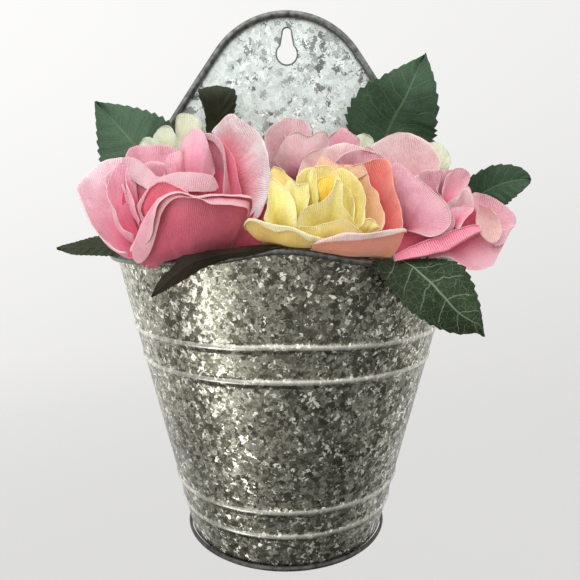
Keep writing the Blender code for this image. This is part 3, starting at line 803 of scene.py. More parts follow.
# ---------------------------------------------------------------------------
# The tin
# ---------------------------------------------------------------------------
@dataclass
class HalfTin:
    """The half-round tin: wall, rolled rim, foot and the arched plate behind it (millimetres)."""

    rim_half_width: float = 90.0
    base_half_width: float = 53.5
    height: float = 151.0
    rim_ratio: float = 0.86
    base_ratio: float = 1.04
    lip_rise: float = 6.5
    lip_spread: float = 0.30
    side_rise: float = 2.8
    ribs: tuple[float, ...] = (17.4, 31.0, 97.8, 113.4)
    rib_rise: float = 0.95
    rib_reach: float = 2.6
    sheet: float = 0.6
    back: float = -0.95
    hem: float = 1.8
    hem_inner: float = 1.3
    plate_top: float = 123.0
    arch_radius: float = 45.5
    arch_slope: float = 35.0
    shoulder: tuple[float, float] = (84.0, 46.0)
    keyhole: float = 102.0
    keyhole_radius: float = 5.5
    slot_radius: float = 2.5
    slot_rise: float = 10.5
    around: int = 256  # corners of the full circle that the wall starts from
    hem_steps: int = 97
    bead: float = 0.42  # the keyhole's turned edge
    foot_overlap: float = 0.35
    foot_band: tuple[float, float] = (-2.0, 2.7)  # its lower edge and its height
    foot_bead: tuple[float, float] = (0.45, 1.2)  # how far it stands off, and its swell
    floor_turn: tuple[float, float] = (0.8, 178.4)  # where the floor starts and how far round it runs, in degrees
    floor_level: float = 2.2
    floor_step: float = 0.9
    shoulder_rise: float = 26.0
    shoulder_pull: float = 0.55
    wall_step: float = 4.5
    foot_sheet: float = 0.4
    foot_grid: tuple[int, int] = (128, 14)
    floor_grid: tuple[int, int] = (96, 28)
    cut_round: float = 0.12

    def half_width(self, height: float) -> float:
        """The wall's half width at a height above the base."""
        return self.base_half_width + (self.rim_half_width - self.base_half_width) * height / self.height

    def half_depth(self, height: float) -> float:
        """The wall's depth in front of the plate at a height above the base."""
        share = height / self.height
        return self.half_width(height) * (self.base_ratio + (self.rim_ratio - self.base_ratio) * share)

    def lift(self, turn: float, height: float) -> float:
        """How far the pushed-up lip raises the wall.

        Args:
            turn: the direction round the wall, in radians from its right side.
            height: above the base.

        Returns:
            The rise.
        """
        spread = (turn - math.pi / 2) / self.lip_spread
        rise = self.lip_rise * math.exp(-spread * spread) + self.side_rise * max(0.0, math.sin(turn))
        return rise * max(0.0, height / self.height) ** 6

    def ring(self, height: float, outward: float, raised: float) -> np.ndarray:
        """A line round the wall, from the right side over the front to the left.

        Args:
            height: above the base.
            outward: off the wall.
            raised: above that height.

        Returns:
            The places, in metres.
        """
        wide, deep = self.half_width(height) + outward, self.half_depth(height) + outward
        turns = np.linspace(0, math.pi, self.hem_steps)
        level = height - self.height + raised
        return np.array([
            (wide * math.cos(t), self.back - deep * math.sin(t), level + self.lift(t, height)) for t in turns
        ]) * MM

    def profile(self) -> list[tuple[float, float]]:
        """Sets out the wall's steps, closer together over the ribs.

        Returns:
            Each step's height above the base and how far it stands out.
        """
        heights = set(np.arange(4.0, self.height - 1.0, self.wall_step))
        heights = {h for h in heights if all(abs(h - rib) > 4.0 for rib in self.ribs)}
        heights |= {rib + self.rib_reach * k / 7 for rib in self.ribs for k in range(-8, 9)}
        heights.add(self.height - 1.2)
        steps = []
        for h in sorted(heights):
            near = min(abs(h - rib) for rib in self.ribs) / self.rib_reach
            swell = 0.5 * (1 + math.cos(math.pi * near)) if near < 1 else 0.0
            steps.append((h, self.rib_rise * swell**0.8))
        return steps

    def wall(self) -> None:
        """Raises the wall step by step from a half circle, then gives it its thickness."""
        deselect()
        centre = (0.0, self.back * MM, -self.height * MM)
        bpy.ops.mesh.primitive_circle_add(vertices=self.around, radius=self.base_half_width * MM, location=centre)
        wall = bpy.context.object
        wall.name = wall.data.name = "tin_wall"
        bpy.ops.object.transform_apply(location=True)
        bpy.ops.object.mode_set(mode="EDIT")
        bpy.ops.mesh.select_all(action="SELECT")
        bpy.ops.transform.resize(value=(1, self.base_ratio, 1), center_override=centre)
        bpy.ops.mesh.bisect(plane_co=centre, plane_no=(0, 1, 0), clear_outer=True)
        bpy.ops.mesh.select_all(action="SELECT")
        level, wide, deep = 0.0, self.base_half_width, self.half_depth(0.0)
        for height, outward in self.profile():
            new_wide, new_deep = self.half_width(height) + outward, self.half_depth(height) + outward
            bpy.ops.mesh.extrude_region_move(TRANSFORM_OT_translate={"value": (0, 0, (height - level) * MM)})
            bpy.ops.transform.resize(value=(new_wide / wide, new_deep / deep, 1), center_override=centre)
            level, wide, deep = height, new_wide, new_deep
        bpy.ops.mesh.select_all(action="SELECT")
        bpy.ops.mesh.normals_make_consistent(inside=False)
        bpy.ops.object.mode_set(mode="OBJECT")
        self.rub(wall)
        middle = wall.data.polygons[len(wall.data.polygons) // 2]
        if middle.normal.dot(Vector((middle.center.x, middle.center.y - centre[1], 0))) < 0:
            wall.data.flip_normals()
        finish_with(wall, ("SOLIDIFY", {"thickness": self.sheet * MM, "offset": -1.0}))
        smooth(wall, 50)
        dress(wall, WALL_ZINC.make())
        mount(wall, "galvanised_steel", "tin_body")

    def rub(self, wall: bpy.types.Object) -> None:
        """Marks the ribs for the painted highlight, and pushes up the lip.

        Args:
            wall: the wall, still without thickness.
        """
        # painted highlight mask: 1 on the ribs' crests, falling off to either side
        rubbed = wall.data.attributes.new("rubbed", "FLOAT", "POINT")
        for corner in wall.data.vertices:
            turn = math.atan2(self.back * MM - corner.co.y, corner.co.x)
            height = corner.co.z / MM + self.height
            near = min(abs(height - self.sheet - rib) for rib in self.ribs) / self.rib_reach
            rubbed.data[corner.index].value = max(0.0, 1.0 - near * near * 3.0)
            corner.co.z += self.lift(turn, height) * MM

    def rim(self) -> None:
        """Rolls the rim's hem outwards."""
        radii = [self.hem * MM] * self.hem_steps
        hem = bar("tin_rim_hem", self.ring(self.height, self.hem_inner, -self.hem), radii, 16)
        dress(hem, HEM_ZINC.make())
        mount(hem, "hem_steel")

    def foot(self) -> None:
        """Makes the turned-up foot ring and the floor."""
        ring = grid_sheet("tin_foot_ring", *self.foot_grid, self.foot_surface)
        finish_with(ring, ("SOLIDIFY", {"thickness": self.foot_sheet * MM, "offset": 0.0}))
        smooth(ring, 60)
        dress(ring, FOOT_ZINC.make())
        mount(ring, "hem_steel", "base_pan")
        floor = grid_sheet("tin_floor", *self.floor_grid, self.floor_surface)
        finish_with(floor, ("SOLIDIFY", {"thickness": self.sheet * MM, "offset": 0.0}))
        smooth(floor, 30)
        dress(floor, FOOT_ZINC.make())
        mount(floor, "hem_steel", "base_pan")

    def floor_surface(self, across: np.ndarray, along: np.ndarray) -> np.ndarray:
        """The floor: a half round with a pressed step near its edge.

        Args:
            across: shares from the right side to the left.
            along: shares from the plate to the wall.

        Returns:
            The places, in metres.
        """
        start, run = map(math.radians, self.floor_turn)
        turn = start + run * across
        near = np.minimum((1 - along) * np.sin(turn) * 60.0, along * np.sin(turn) * 60.0)
        step = self.floor_step * np.clip((near - 3.0) / 2.0, 0, 1)
        across_places = (self.base_half_width + 0.2) * np.cos(turn)
        front_to_back = self.back - self.half_depth(0.0) * np.sin(turn) * along
        return np.stack([across_places, front_to_back, self.floor_level - self.height + step], axis=1) * MM

    def foot_surface(self, across: np.ndarray, along: np.ndarray) -> np.ndarray:
        """The foot ring: up the wall's outside with a small bead at its lower edge.

        Args:
            across: shares from the right side to the left.
            along: shares from its lower edge up.

        Returns:
            The places, in metres.
        """
        turn = math.pi * across
        low, tall = self.foot_band
        off, swell = self.foot_bead
        height = low + tall * along
        bead = off + swell * np.sin(math.pi * np.clip(along * 1.15, 0, 1)) ** 0.7
        wide = (self.half_width(height) + bead + self.foot_overlap) * np.cos(turn)
        deep = (self.half_depth(height) + bead + self.foot_overlap) * np.sin(turn)
        return np.stack([wide, self.back - deep, height - self.height], axis=1) * MM

    def arch(self, inset: float, steps: int = 24) -> list[tuple[float, float]]:
        """The plate's edge above the rim, from the right over the top to the left.

        Args:
            inset: how far inside the outer edge.
            steps: places on each flank and on each half of the top.

        Returns:
            (across, up) places, in millimetres.
        """
        radius = self.arch_radius - inset
        centre = self.plate_top - self.arch_radius
        turns = np.radians(np.linspace(self.arch_slope, 90, steps))
        top = [(radius * math.cos(a), centre + radius * math.sin(a)) for a in turns]
        flank = np.array(top[0])
        shoulder = np.array((self.shoulder[0] - inset, self.shoulder[1]))
        corner = np.array((self.rim_half_width + 1.0 - inset, 2.0))
        slope = math.radians(self.arch_slope)
        down = np.array((math.sin(slope), -math.cos(slope))) * np.linalg.norm(shoulder - flank)
        handles = (corner, corner + (0.0, self.shoulder_rise), flank + down * self.shoulder_pull, flank)
        right = []
        for t in np.linspace(0, 1, steps, endpoint=False):
            weights = ((1 - t) ** 3, 3 * t * (1 - t) ** 2, 3 * t * t * (1 - t), t**3)
            right.append(tuple(sum(w * h for w, h in zip(weights, handles))))
        right += top
        return right + [(-x, z) for x, z in reversed(right[:-1])]

    def plate(self) -> None:
        """Cuts the arched plate, its keyhole and its rolled edge."""
        lower = [(self.half_width(h) - 0.2, h - self.height) for h in (0.0, 0.5 * self.height, self.height)]
        outline = lower + self.arch(self.hem) + [(-x, z) for x, z in reversed(lower)]
        sheet = self.cut_out("plate_sheet", outline, -self.sheet / 2)
        finish_with(sheet, ("SOLIDIFY", {"thickness": self.sheet * MM, "offset": 0.0}))
        cutter = self.cut_out("keyhole_cutter", self.keyhole_outline(), 0.0)
        finish_with(cutter, ("SOLIDIFY", {"thickness": 6 * MM, "offset": 0.0}))
        settings = {"operation": "DIFFERENCE", "object": cutter, "solver": "EXACT"}
        finish_with(sheet, ("BOOLEAN", settings))
        bpy.data.objects.remove(cutter)
        finish_with(sheet, ("BEVEL", {"width": self.cut_round * MM, "segments": 2, "limit_method": "ANGLE"}))
        dress(sheet, PLATE_ZINC.make())
        mount(sheet, "galvanised_steel", "back_plate")
        rim = [(x * MM, -self.sheet * MM, z * MM) for x, z in self.keyhole_outline()]
        bead = bar("keyhole_bead", np.array([*rim, rim[0]]), [self.bead * MM] * (len(rim) + 1), 8)
        dress(bead, HEM_ZINC.make())
        mount(bead, "galvanised_steel", "back_plate")
        line = [(x * MM, -(self.hem + 0.02) * MM, z * MM) for x, z in self.arch(self.hem)]
        hem = bar("plate_hem", np.array(line), [self.hem * MM] * len(line), 16)
        dress(hem, HEM_ZINC.make())
        mount(hem, "galvanised_steel", "back_plate")

    def keyhole_outline(self) -> list[tuple[float, float]]:
        """The keyhole: a round hole with a narrower slot above it.

        Returns:
            (across, up) corners in order, in millimetres.
        """
        spread = math.degrees(math.asin(self.slot_radius / self.keyhole_radius)) + 14
        hole = (self.keyhole, self.keyhole_radius, np.linspace(90 + spread, 450 - spread, 40))
        slot = (self.keyhole + self.slot_rise, self.slot_radius, np.linspace(-8, 188, 20))
        return [
            (radius * math.cos(a), centre + radius * math.sin(a))
            for centre, radius, degrees in (hole, slot)
            for a in np.radians(degrees)
        ]

    @staticmethod
    def cut_out(name: str, outline: Sequence[tuple[float, float]], depth: float) -> bpy.types.Object:
        """A flat sheet cut to an outline, upright and facing forwards.

        Args:
            name: the piece's name.
            outline: (across, up) corners in order, in millimetres.
            depth: its place front to back.

        Returns:
            The sheet.
        """
        deselect()
        bpy.ops.mesh.primitive_circle_add(vertices=len(outline), radius=1.0, fill_type="NGON")
        sheet = bpy.context.object
        sheet.name = sheet.data.name = name
        for corner, (x, z) in zip(sheet.data.vertices, outline):
            corner.co = (x * MM, depth * MM, z * MM)
        sheet.data.update()
        return sheet

    def build(self) -> None:
        """Makes the whole tin."""
        self.wall()
        self.rim()
        self.foot()
        self.plate()


# ---------------------------------------------------------------------------
# Petals
# ---------------------------------------------------------------------------
@dataclass(frozen=True)
class Petal:
    """One pressed fabric petal, from its foot to the outline of its lip (millimetres)."""

    name: str
    foot: Point
    lip: tuple[Point, ...]
    out: Point
    belly: float = 5.0
    roll: tuple[float, ...] = (0.25,)  # radius of the rolled lip, from side to side
    turn: float = 65.0  # how far the lip is rolled, in degrees
    ruffle: float = 0.5
    waves: float = 3.0
    fabric: Fabric | None = None  # the rose's own if not named
    foot_width: float = 5.0
    dents: float = 0.6
    foot_end: Point | None = None
    flap: tuple[float, ...] = (0.0,)  # how far the fabric runs on past the roll
    fall: tuple[Point, ...] = ()  # the hem of a lip that folds right over
    grid: tuple[int, int] = (32, 18)
    nibble: float = 0.13  # how uneven the cut edge is
    thickness: float = 0.24

    def lining(self, number: int, shift: Point) -> Petal:
        """A slightly smaller petal inside this one, which fills the rose's depth.

        Args:
            number: which lining, for its name.
            shift: how far it stands from this petal, in millimetres.

        Returns:
            The petal.
        """
        middle = np.mean(self.lip, axis=0)

        def moved(point: Point, size: float = 1.0) -> Point:
            """The point drawn towards the middle and shifted."""
            return tuple(middle + (np.array(point) - middle) * size + shift)

        return replace(
            self, name=f"{self.name}_lining{number}", foot=moved(self.foot),
            foot_end=None if self.foot_end is None else moved(self.foot_end),
            lip=tuple(moved(point, 0.93) for point in self.lip), roll=(0.4,), turn=65.0, flap=(0.0,), fall=(),
            grid=(22, 13),
        )

    @property
    def phase(self) -> float:
        """Where this petal's own unevenness starts."""
        return sum(map(ord, self.name)) * 0.7

    def feet(self, across: np.ndarray, side: np.ndarray) -> np.ndarray:
        """The petal's foot from side to side.

        Args:
            across: shares from one side of the petal to the other.
            side: the direction from one side to the other.

        Returns:
            The places, in metres.
        """
        if self.foot_end is None:
            return np.array(self.foot) * MM + np.outer(across - 0.5, side) * self.foot_width * MM
        return (np.outer(1 - across, self.foot) + np.outer(across, self.foot_end)) * MM

    def push(self, across: np.ndarray, along: np.ndarray, share: np.ndarray) -> np.ndarray:
        """How far the petal stands off the straight between its foot and its lip.

        Args:
            across: shares from one side of the petal to the other.
            along: shares from the foot to the hem.
            share: shares from the foot to the roll.

        Returns:
            The distances, in metres.
        """
        phase = self.phase
        swell = np.sin(math.pi * share**0.85) * (0.35 + 0.65 * np.sin(math.pi * across))
        dent = np.sin(across * 9 + phase) * np.sin(along * 7 + phase * 1.7)
        dent += 0.6 * np.sin(across * 17 + along * 6 + phase * 2.3)
        wave = np.sin(across * math.tau * self.waves + phase)
        wave += 0.4 * np.sin(across * math.tau * self.waves * 2.7 + phase * 3.1)
        return (self.belly * swell + self.dents * dent * share + self.ruffle * wave * share**3) * MM

    def flap_length(self, across: np.ndarray) -> np.ndarray:
        """How far the fabric runs on past the roll, given at each point of the lip or evenly.

        Args:
            across: shares from one side of the petal to the other.

        Returns:
            The lengths, in metres.
        """
        stops = np.linspace(0, 1, len(self.flap))
        if len(self.flap) == len(self.lip):
            runs = np.linalg.norm(np.diff(np.array(self.lip, float), axis=0), axis=1)
            stops = np.concatenate([[0.0], np.cumsum(runs)]) / runs.sum()
        return np.interp(across, stops, self.flap) * MM

    def surface(self, across: np.ndarray, along: np.ndarray) -> np.ndarray:
        """The petal's middle surface.

        Args:
            across: shares from one side of the petal to the other.
            along: shares from the foot to the hem.

        Returns:
            The places, in metres.
        """
        body_end, roll_end = (0.66, 0.82) if max(self.flap) or self.fall else (0.82, 1.0)
        line = spline(self.lip)
        edge = read_line(line, across)
        foot = self.feet(across, unit(line[-1] - line[0]))
        ray = unit(edge - foot)
        out = np.array(self.out, float)
        out = unit(out - ray * (ray @ out)[:, None])
        roll = np.interp(across, np.linspace(0, 1, len(self.roll)), self.roll)[:, None] * MM
        uneven = np.sin(across * 83 + self.phase) + np.sin(across * 131 + self.phase * 2.1)
        cut = ray * (self.nibble * MM * uneven)[:, None]
        start = edge + cut - ray * roll
        share = np.clip(along / body_end, 0, 1)
        angle = (np.clip((along - body_end) / (roll_end - body_end), 0, 1) * math.radians(self.turn))[:, None]
        rolled = roll * (ray * np.sin(angle) + out * (1 - np.cos(angle)))
        beyond = np.clip((along - roll_end) / (1 - roll_end), 0, 1) if roll_end < 1 else np.zeros_like(along)
        beyond = beyond[:, None]
        if max(self.flap):
            rolled += (ray * np.cos(angle) + out * np.sin(angle)) * beyond * self.flap_length(across)[:, None]
        place = foot + (start - foot) * share[:, None] + out * self.push(across, along, share)[:, None] + rolled
        if self.fall:
            place += (read_line(spline(self.fall), across) + cut - place) * beyond
            place += out * (0.5 * MM * np.sin(math.pi * beyond))
        return place

    def build(self) -> bpy.types.Object:
        """Makes the petal with its thickness, its two faces and its cut edge.

        Returns:
            The petal.
        """
        petal = grid_sheet(self.name, *self.grid, self.surface)
        turn_towards(petal, self.out)
        inner, outer, edge = self.fabric.materials()
        dress(petal, outer, inner, edge)
        stretch = np.linalg.norm(np.diff(spline(self.lip, 60), axis=0), axis=1).sum() / RIB_SPAN
        for corner in petal.data.uv_layers[0].data:
            corner.uv.x *= stretch
        thicken(petal, self.thickness, -1.0)
        return petal


def thicken(sheet: bpy.types.Object, thickness: float, offset: float) -> None:
    """Gives a fabric sheet its thickness, its second face and its cut edge, and smooths it.

    Args:
        sheet: the sheet, dressed with both faces and the edge.
        thickness: in millimetres.
        offset: which side the thickness goes to, from -1 to 1.
    """
    thick = {"thickness": thickness * MM, "offset": offset, "material_offset": 1, "material_offset_rim": 2}
    finish_with(sheet, ("SOLIDIFY", thick), ("SUBSURF", {"levels": 1, "render_levels": 1}))
    smooth(sheet)


@dataclass(frozen=True)
class Bloom:
    """A rose: petals given one by one in front, rings of petals round the back and a coiled heart."""

    name: str
    centre: Point
    facing: Point
    reach: tuple[float, float]  # half its width and half its depth
    petals: tuple[Petal, ...]
    rings: tuple[tuple[int, float, float, float, float], ...]  # count, first, last, share and height
    heart: tuple[float, float, float, float]  # radius, height, turns and foot
    fabric: Fabric = Fabric.PINK
    stands_for: int = 7  # how many of the frame's petals
    linings: tuple[tuple[str, Point], ...] = ()  # the petal each one lines, and how far inside it stands
    ring_overlap: float = 0.62  # a ring petal's half width, as a share of the way to the next
    coil_grid: tuple[int, int] = (84, 10)
    coil_spread: float = 8.0
    coil_thickness: float = 0.34

    def axes(self) -> np.ndarray:
        """Finds the rose's own directions.

        Returns:
            Sideways, backwards and outwards, a row each.
        """
        up = unit(np.array(self.facing, float))
        side = unit(np.array((1.0, 0.0, 0.0)) - up * up[0])
        return np.stack([side, np.cross(up, side), up])

    def at(self, degrees: float, share: float, height: float) -> Point:
        """A place round the rose.

        Args:
            degrees: the direction.
            share: how far out, as a share of the rose's reach.
            height: above the rose's centre.

        Returns:
            The place, in millimetres.
        """
        side, back, up = self.axes()
        a = math.radians(degrees)
        wide, deep = self.reach
        place = np.array(self.centre) + share * (wide * math.cos(a) * side + deep * math.sin(a) * back)
        return tuple(place + height * up)

    def ring(
        self, number: int, count: int, first: float, last: float, share: float, height: float
    ) -> list[Petal]:
        """Petals spread evenly round part of the rose.

        Args:
            number: which ring, for the names.
            count: how many petals.
            first: the first petal's direction, in degrees.
            last: the last one's.
            share: how far out their lips are, as a share of the rose's reach.
            height: their lips' height above the rose's centre.

        Returns:
            The petals.
        """
        made = []
        side, back, _ = self.axes()
        for k, middle in enumerate(np.linspace(first, last, count)):
            half = self.ring_overlap * (last - first) / max(count - 1, 1)
            sway = math.sin(number * 2.1 + k * 1.7)
            lip = []
            for t in (-1.0, -0.85, -0.5, 0.0, 0.5, 0.85, 1.0):
                tall = height * (1 - 0.5 * abs(t) ** 3 + 0.04 * sway * t)
                far = share * (1 - 0.10 * t * t) * (0.93 + 0.07 * math.sin(k * 2.7))
                lip.append(self.at(middle + half * t, far, tall))
            a = math.radians(middle)
            out = math.cos(a) * side + math.sin(a) * back
            made.append(
                Petal(
                    f"{self.name}_ring{number}_{k + 1}", self.at(middle, 0.10, 1.0), tuple(lip), tuple(out),
                    belly=5.0 + share * 3, roll=(1.0, 2.2 + sway, 1.0), turn=120, ruffle=0.8, waves=2.3,
                    fabric=self.fabric, foot_width=8.0, grid=(26, 15),
                )
            )
        return made

    def coil(self) -> bpy.types.Object:
        """The heart: a strip of petals coiled round the rose's axis.

        Returns:
            The heart.
        """
        radius, height, turns, foot = self.heart
        side, back, up = self.axes()

        def surface(across: np.ndarray, along: np.ndarray) -> np.ndarray:
            """The coiled strip.

            Args:
                across: shares along the strip, from the coil's middle out.
                along: shares from its foot to its lip.

            Returns:
                The places, in metres.
            """
            angle = across * turns * math.tau
            lobe = 0.5 + 0.5 * np.sin(angle * 1.5 + 1.0)
            grow = (0.12 + 0.88 * across) * radius
            flare = 0.35 + 0.65 * np.sin(np.clip(along, 0, 1) * math.pi * 0.62)
            r = grow * flare + np.clip(along - 0.85, 0, 1) * self.coil_spread * across
            tall = foot + (height - foot) * along * (0.84 + 0.16 * lobe)
            place = np.outer(r * np.cos(angle), side) + np.outer(r * np.sin(angle), back)
            return (np.array(self.centre) + place + np.outer(tall, up)) * MM

        heart = grid_sheet(f"{self.name}_coil", *self.coil_grid, surface)
        dress(heart, *self.fabric.materials())
        thicken(heart, self.coil_thickness, 0.0)
        return heart

    def build(self) -> None:
        """Makes the whole rose and fixes it to the frame."""
        petals = [
            replace(petal, name=f"{self.name}_{petal.name}", fabric=petal.fabric or self.fabric)
            for petal in self.petals
        ]
        for number, ring in enumerate(self.rings, 1):
            petals += self.ring(number, *ring)
        named = {petal.name: petal for petal in petals}
        for number, (inside, shift) in enumerate(self.linings, 1):
            petals.append(named[f"{self.name}_{inside}"].lining(number, shift))
        nodes = [f"{self.name}_petal_{n}" for n in range(1, self.stands_for + 1)]
        for k, petal in enumerate(petals):
            mount(petal.build(), petal.fabric.value.slot, *nodes[k::len(petals)])
        mount(self.coil(), self.fabric.value.slot, f"{self.name}_heart")


# The large pink rose on the left.
LEFT_ROSE_PETALS = (
    Petal("wall", (-31, -40, 54), (
        (-35, -38, 59), (-32, -37, 63.5), (-26.5, -38, 68), (-21.5, -41, 65), (-13, -46, 58.5), (-8.5, -53, 50),
        (-7, -59, 41), (-8, -63, 32.5), (-10, -65, 24.5), (-14, -62, 18),
    ), (0.5, 0.9, 0.1), belly=3.0, roll=(0.3, 0.3, 0.5, 0.4, 0.3), fabric=Fabric.FADED, foot_end=(-22, -48, 27),
        dents=0.5),
    Petal("back", (-60, -36, 24), (
        (-79, -36, 38), (-77, -32, 49.5), (-74, -29, 53), (-68.5, -26, 54.5), (-62, -25, 54), (-56, -26, 53),
        (-50, -28, 50),
    ), (-0.3, 1, 0.1), belly=4.0, roll=(0.3, 0.6, 0.4)),
    # painted shade: a filler petal in the deeper pink, in the shaded hollow between the left petals
    Petal("hollow", (-67, -57, 9), (
        (-72.5, -57, 17), (-73.5, -55, 28), (-71.5, -53, 35.5), (-65.5, -53, 39.5), (-58.5, -55, 37),
        (-54, -57, 31), (-50.5, -58, 24.5),
    ), (0, -1, 0.1), belly=0.5, fabric=Fabric.HOT, dents=0.2, foot_end=(-53, -60, 11.5)),
    Petal("vee", (-62, -56, 24.5), (
        (-75, -47, 44.5), (-74.5, -47, 47), (-69, -48.5, 46.5), (-62.5, -52, 42.5), (-56.5, -58, 38),
        (-49.5, -62, 39.5), (-44, -63, 40), (-37.5, -63, 39.5), (-31.5, -61, 38), (-29.5, -60, 33),
    ), (-0.1, -1, 0.5), belly=3.0, roll=(0.3, 0.5, 0.5, 0.6, 0.6, 0.4), turn=120, fabric=Fabric.PALE, ruffle=0.1,
        dents=0.2, foot_width=8, fall=(
        (-73.5, -50, 40.5), (-70.5, -52.5, 37.5), (-66.5, -56, 35), (-63, -59, 33.5), (-60.5, -62, 32.5),
        (-57.5, -64, 32), (-53, -66.5, 32), (-46, -68.5, 31.5), (-37.5, -68.5, 31.5), (-32.5, -66, 31.5),
        (-30.5, -63, 32),
    )),
    Petal("bud", (-41, -45, 25), (
        (-49, -42, 40), (-48.5, -44, 52.5), (-45, -46, 57.5), (-40.5, -47, 60), (-37, -49, 57.5),
        (-34.5, -50, 50), (-32.5, -48, 40),
    ), (-0.1, -1, 0.2), belly=5.0, dents=0.4),
    Petal("bud_left", (-49, -46, 25), (
        (-57, -43, 34), (-55.5, -45, 43.5), (-54, -46, 48), (-50.5, -47, 50), (-47.5, -47, 50.5), (-45, -45, 40),
    ), (-0.4, -1, 0.1), belly=4.0),
    Petal("strip", (-26, -44, 30), (
        (-38.5, -44, 52), (-37.5, -44.5, 57.5), (-34, -45.5, 58), (-31, -47, 56), (-28.5, -49, 52),
        (-27.5, -51, 47), (-27.5, -53, 40), (-28, -55, 30),
    ), (-0.6, -0.9, 0.2), belly=1.0, roll=(0.3, 0.5, 0.5, 0.3), turn=165, fabric=Fabric.PALE,
        foot_end=(-22, -46, 22), flap=(1.5, 3.5, 4.5, 3.5, 1.5), ruffle=0.2, dents=0.2),
    # painted shade: a filler petal in the deeper pink, in the shaded gap behind the strip
    Petal("valley", (-34, -46, 16), (
        (-40, -42, 44), (-37, -41, 54), (-32, -43, 56), (-27, -46, 52), (-23, -51, 44), (-20, -56, 32),
        (-19, -58, 22),
    ), (0.5, 0.8, 0), belly=1.0, roll=(0.15,), turn=30, fabric=Fabric.HOT, foot_end=(-24, -54, 8), dents=0.3),
    # painted shade: a filler petal in the deeper pink, in the shaded gap between this rose and the yellow one
    Petal("under_right", (-28.5, -58, 3), (
        (-26, -60, 9), (-21, -61, 15), (-13.5, -60, 23.5), (-8.5, -60, 26.5), (-6.5, -60, 20.5), (-6.5, -59, 9),
    ), (0, -1, 0.1), belly=0.5, fabric=Fabric.HOT, dents=0.2, foot_end=(-10.5, -57, 3.5)),
    Petal("pale_left", (-57.5, -62, 19.5), (
        (-63, -64, 18.5), (-63.5, -65, 21.5), (-64, -67, 26), (-61, -69, 30), (-57.5, -70, 34),
        (-55, -70.5, 35.5), (-52, -71, 36.5), (-48, -71, 35), (-42, -70, 32), (-40, -68, 28),
    ), (-0.2, -1, 0.2), belly=3.0, roll=(0.5, 0.6, 0.3), turn=150, fabric=Fabric.ROSE, ruffle=0.2, dents=0.3,
        flap=(1.5, 2.5, 1.8, 0.6, 0.2, 0.2, 0.1)),
    Petal("cup_lip", (-61, -66, 3), (
        (-67, -71, 6.5), (-66, -73, 8.5), (-63, -76.5, 12), (-58.5, -80.5, 20.5), (-52, -84.5, 28.5),
        (-47, -87, 31), (-42, -87.5, 32), (-36, -85, 30), (-30.5, -82.5, 31), (-23.5, -78.5, 30.5),
        (-14.5, -73.5, 30), (-14, -71, 27.5), (-14.5, -69, 24),
    ), (-0.05, -1, 0.15), belly=6.0, roll=(0.5, 0.6, 0.6, 0.5, 0.5, 0.5, 0.3), turn=120, fabric=Fabric.ROSE,
        ruffle=0.1, dents=0.3, fall=(
        (-66, -74.5, 6.5), (-63.5, -77, 7.5), (-59, -80.5, 9), (-56.5, -83, 11), (-54.5, -85, 13),
        (-53, -87, 16.5), (-52.5, -88.5, 19.5), (-51.5, -89.5, 22.5), (-50.5, -90.5, 26), (-49, -91, 28),
        (-46, -91.5, 30), (-41, -91.5, 31.5), (-35, -89.5, 29), (-30, -86, 30), (-23.5, -81.5, 30),
        (-14.5, -76, 29), (-14, -73, 27), (-14.5, -71, 24),
    ), foot_end=(-24, -61, 7)),
    Petal("cup", (-62, -69, 0), (
        (-65, -72, 2.5), (-65.5, -74, 6.5), (-63, -78, 11.5), (-58, -82.5, 20), (-51.5, -86, 28),
        (-47, -88, 30.5), (-42, -88.5, 31.5), (-35.5, -86.5, 29.5), (-30.5, -84, 29.5), (-23.5, -80, 29),
        (-16, -75, 28), (-15, -72, 25.5), (-16.5, -70, 21),
    ), (-0.05, -1, 0.15), belly=6.0, roll=(0.5, 0.6, 0.5, 0.4, 0.4, 0.5, 0.3), turn=120, fabric=Fabric.ROSE,
        ruffle=0.1, dents=0.4, fall=(
        (-62.5, -76, 1.5), (-60.5, -77.5, 2), (-57, -80.5, 5), (-54.5, -83, 9), (-53, -84.5, 12.5),
        (-51.5, -86.5, 16.5), (-50, -88, 20.5), (-49, -89, 23.5), (-47, -90, 26), (-44.5, -90.5, 28.5),
        (-42, -91, 29.5), (-38.5, -91, 29.5), (-33, -90, 29), (-31, -89, 27), (-28.5, -88, 26.5),
        (-24, -84.5, 26.5), (-18, -80, 25.5), (-15.5, -76.5, 24.5), (-16.5, -73.5, 21.5),
    ), foot_end=(-24.5, -63, 6)),
    Petal("outer_left", (-67.5, -60, 7.5), (
        (-69.5, -66, 5.5), (-75.5, -64.5, 7), (-83.5, -61.5, 13), (-88.5, -58.5, 20.5), (-93, -54.5, 29),
        (-95, -50.5, 34.5), (-92.5, -46.5, 39), (-86, -42, 45.5), (-80.5, -40, 47), (-76, -40, 47.5),
        (-70.5, -42, 45),
    ), (-0.6, 0.5, -0.6), belly=6.0, roll=(0.3, 0.4, 0.5, 0.8, 0.8), turn=110, foot_width=12, fabric=Fabric.SOFT),
    Petal("second_left", (-64.5, -62, 10.5), (
        (-66.5, -66, 13), (-71, -66, 16), (-75, -65.5, 23), (-77.5, -63, 30), (-79, -58, 35.5),
        (-78, -52.5, 40.5), (-76, -50, 44), (-73.5, -49, 44.5),
    ), (-0.7, 0.2, -0.4), belly=5.0, roll=(0.15,), turn=40),
    Petal("third_left", (-63.5, -62, 17), (
        (-64, -64, 19.5), (-66, -63.5, 26.5), (-69.5, -60.5, 32.5), (-71.5, -56, 36.5), (-72.5, -52, 40.5),
        (-70.5, -51, 43), (-67, -53, 40.5),
    ), (-0.6, 0.3, -0.4), belly=3.0, roll=(0.15,), turn=40, ruffle=0.1),
)
LEFT_ROSE = Bloom(
    "left_rose", (-51, -50, 14), (-0.1, -0.22, 1), (38, 27), LEFT_ROSE_PETALS,
    rings=((3, 62, 160, 0.86, 29), (2, 80, 150, 0.58, 27)),
    linings=(("cup", (0.5, 8, -2.5)), ("cup", (0.5, 15, -2.5)), ("under_right", (-8, 9, -1))),
    heart=(9.0, 22.0, 2.4, 2.0),
)

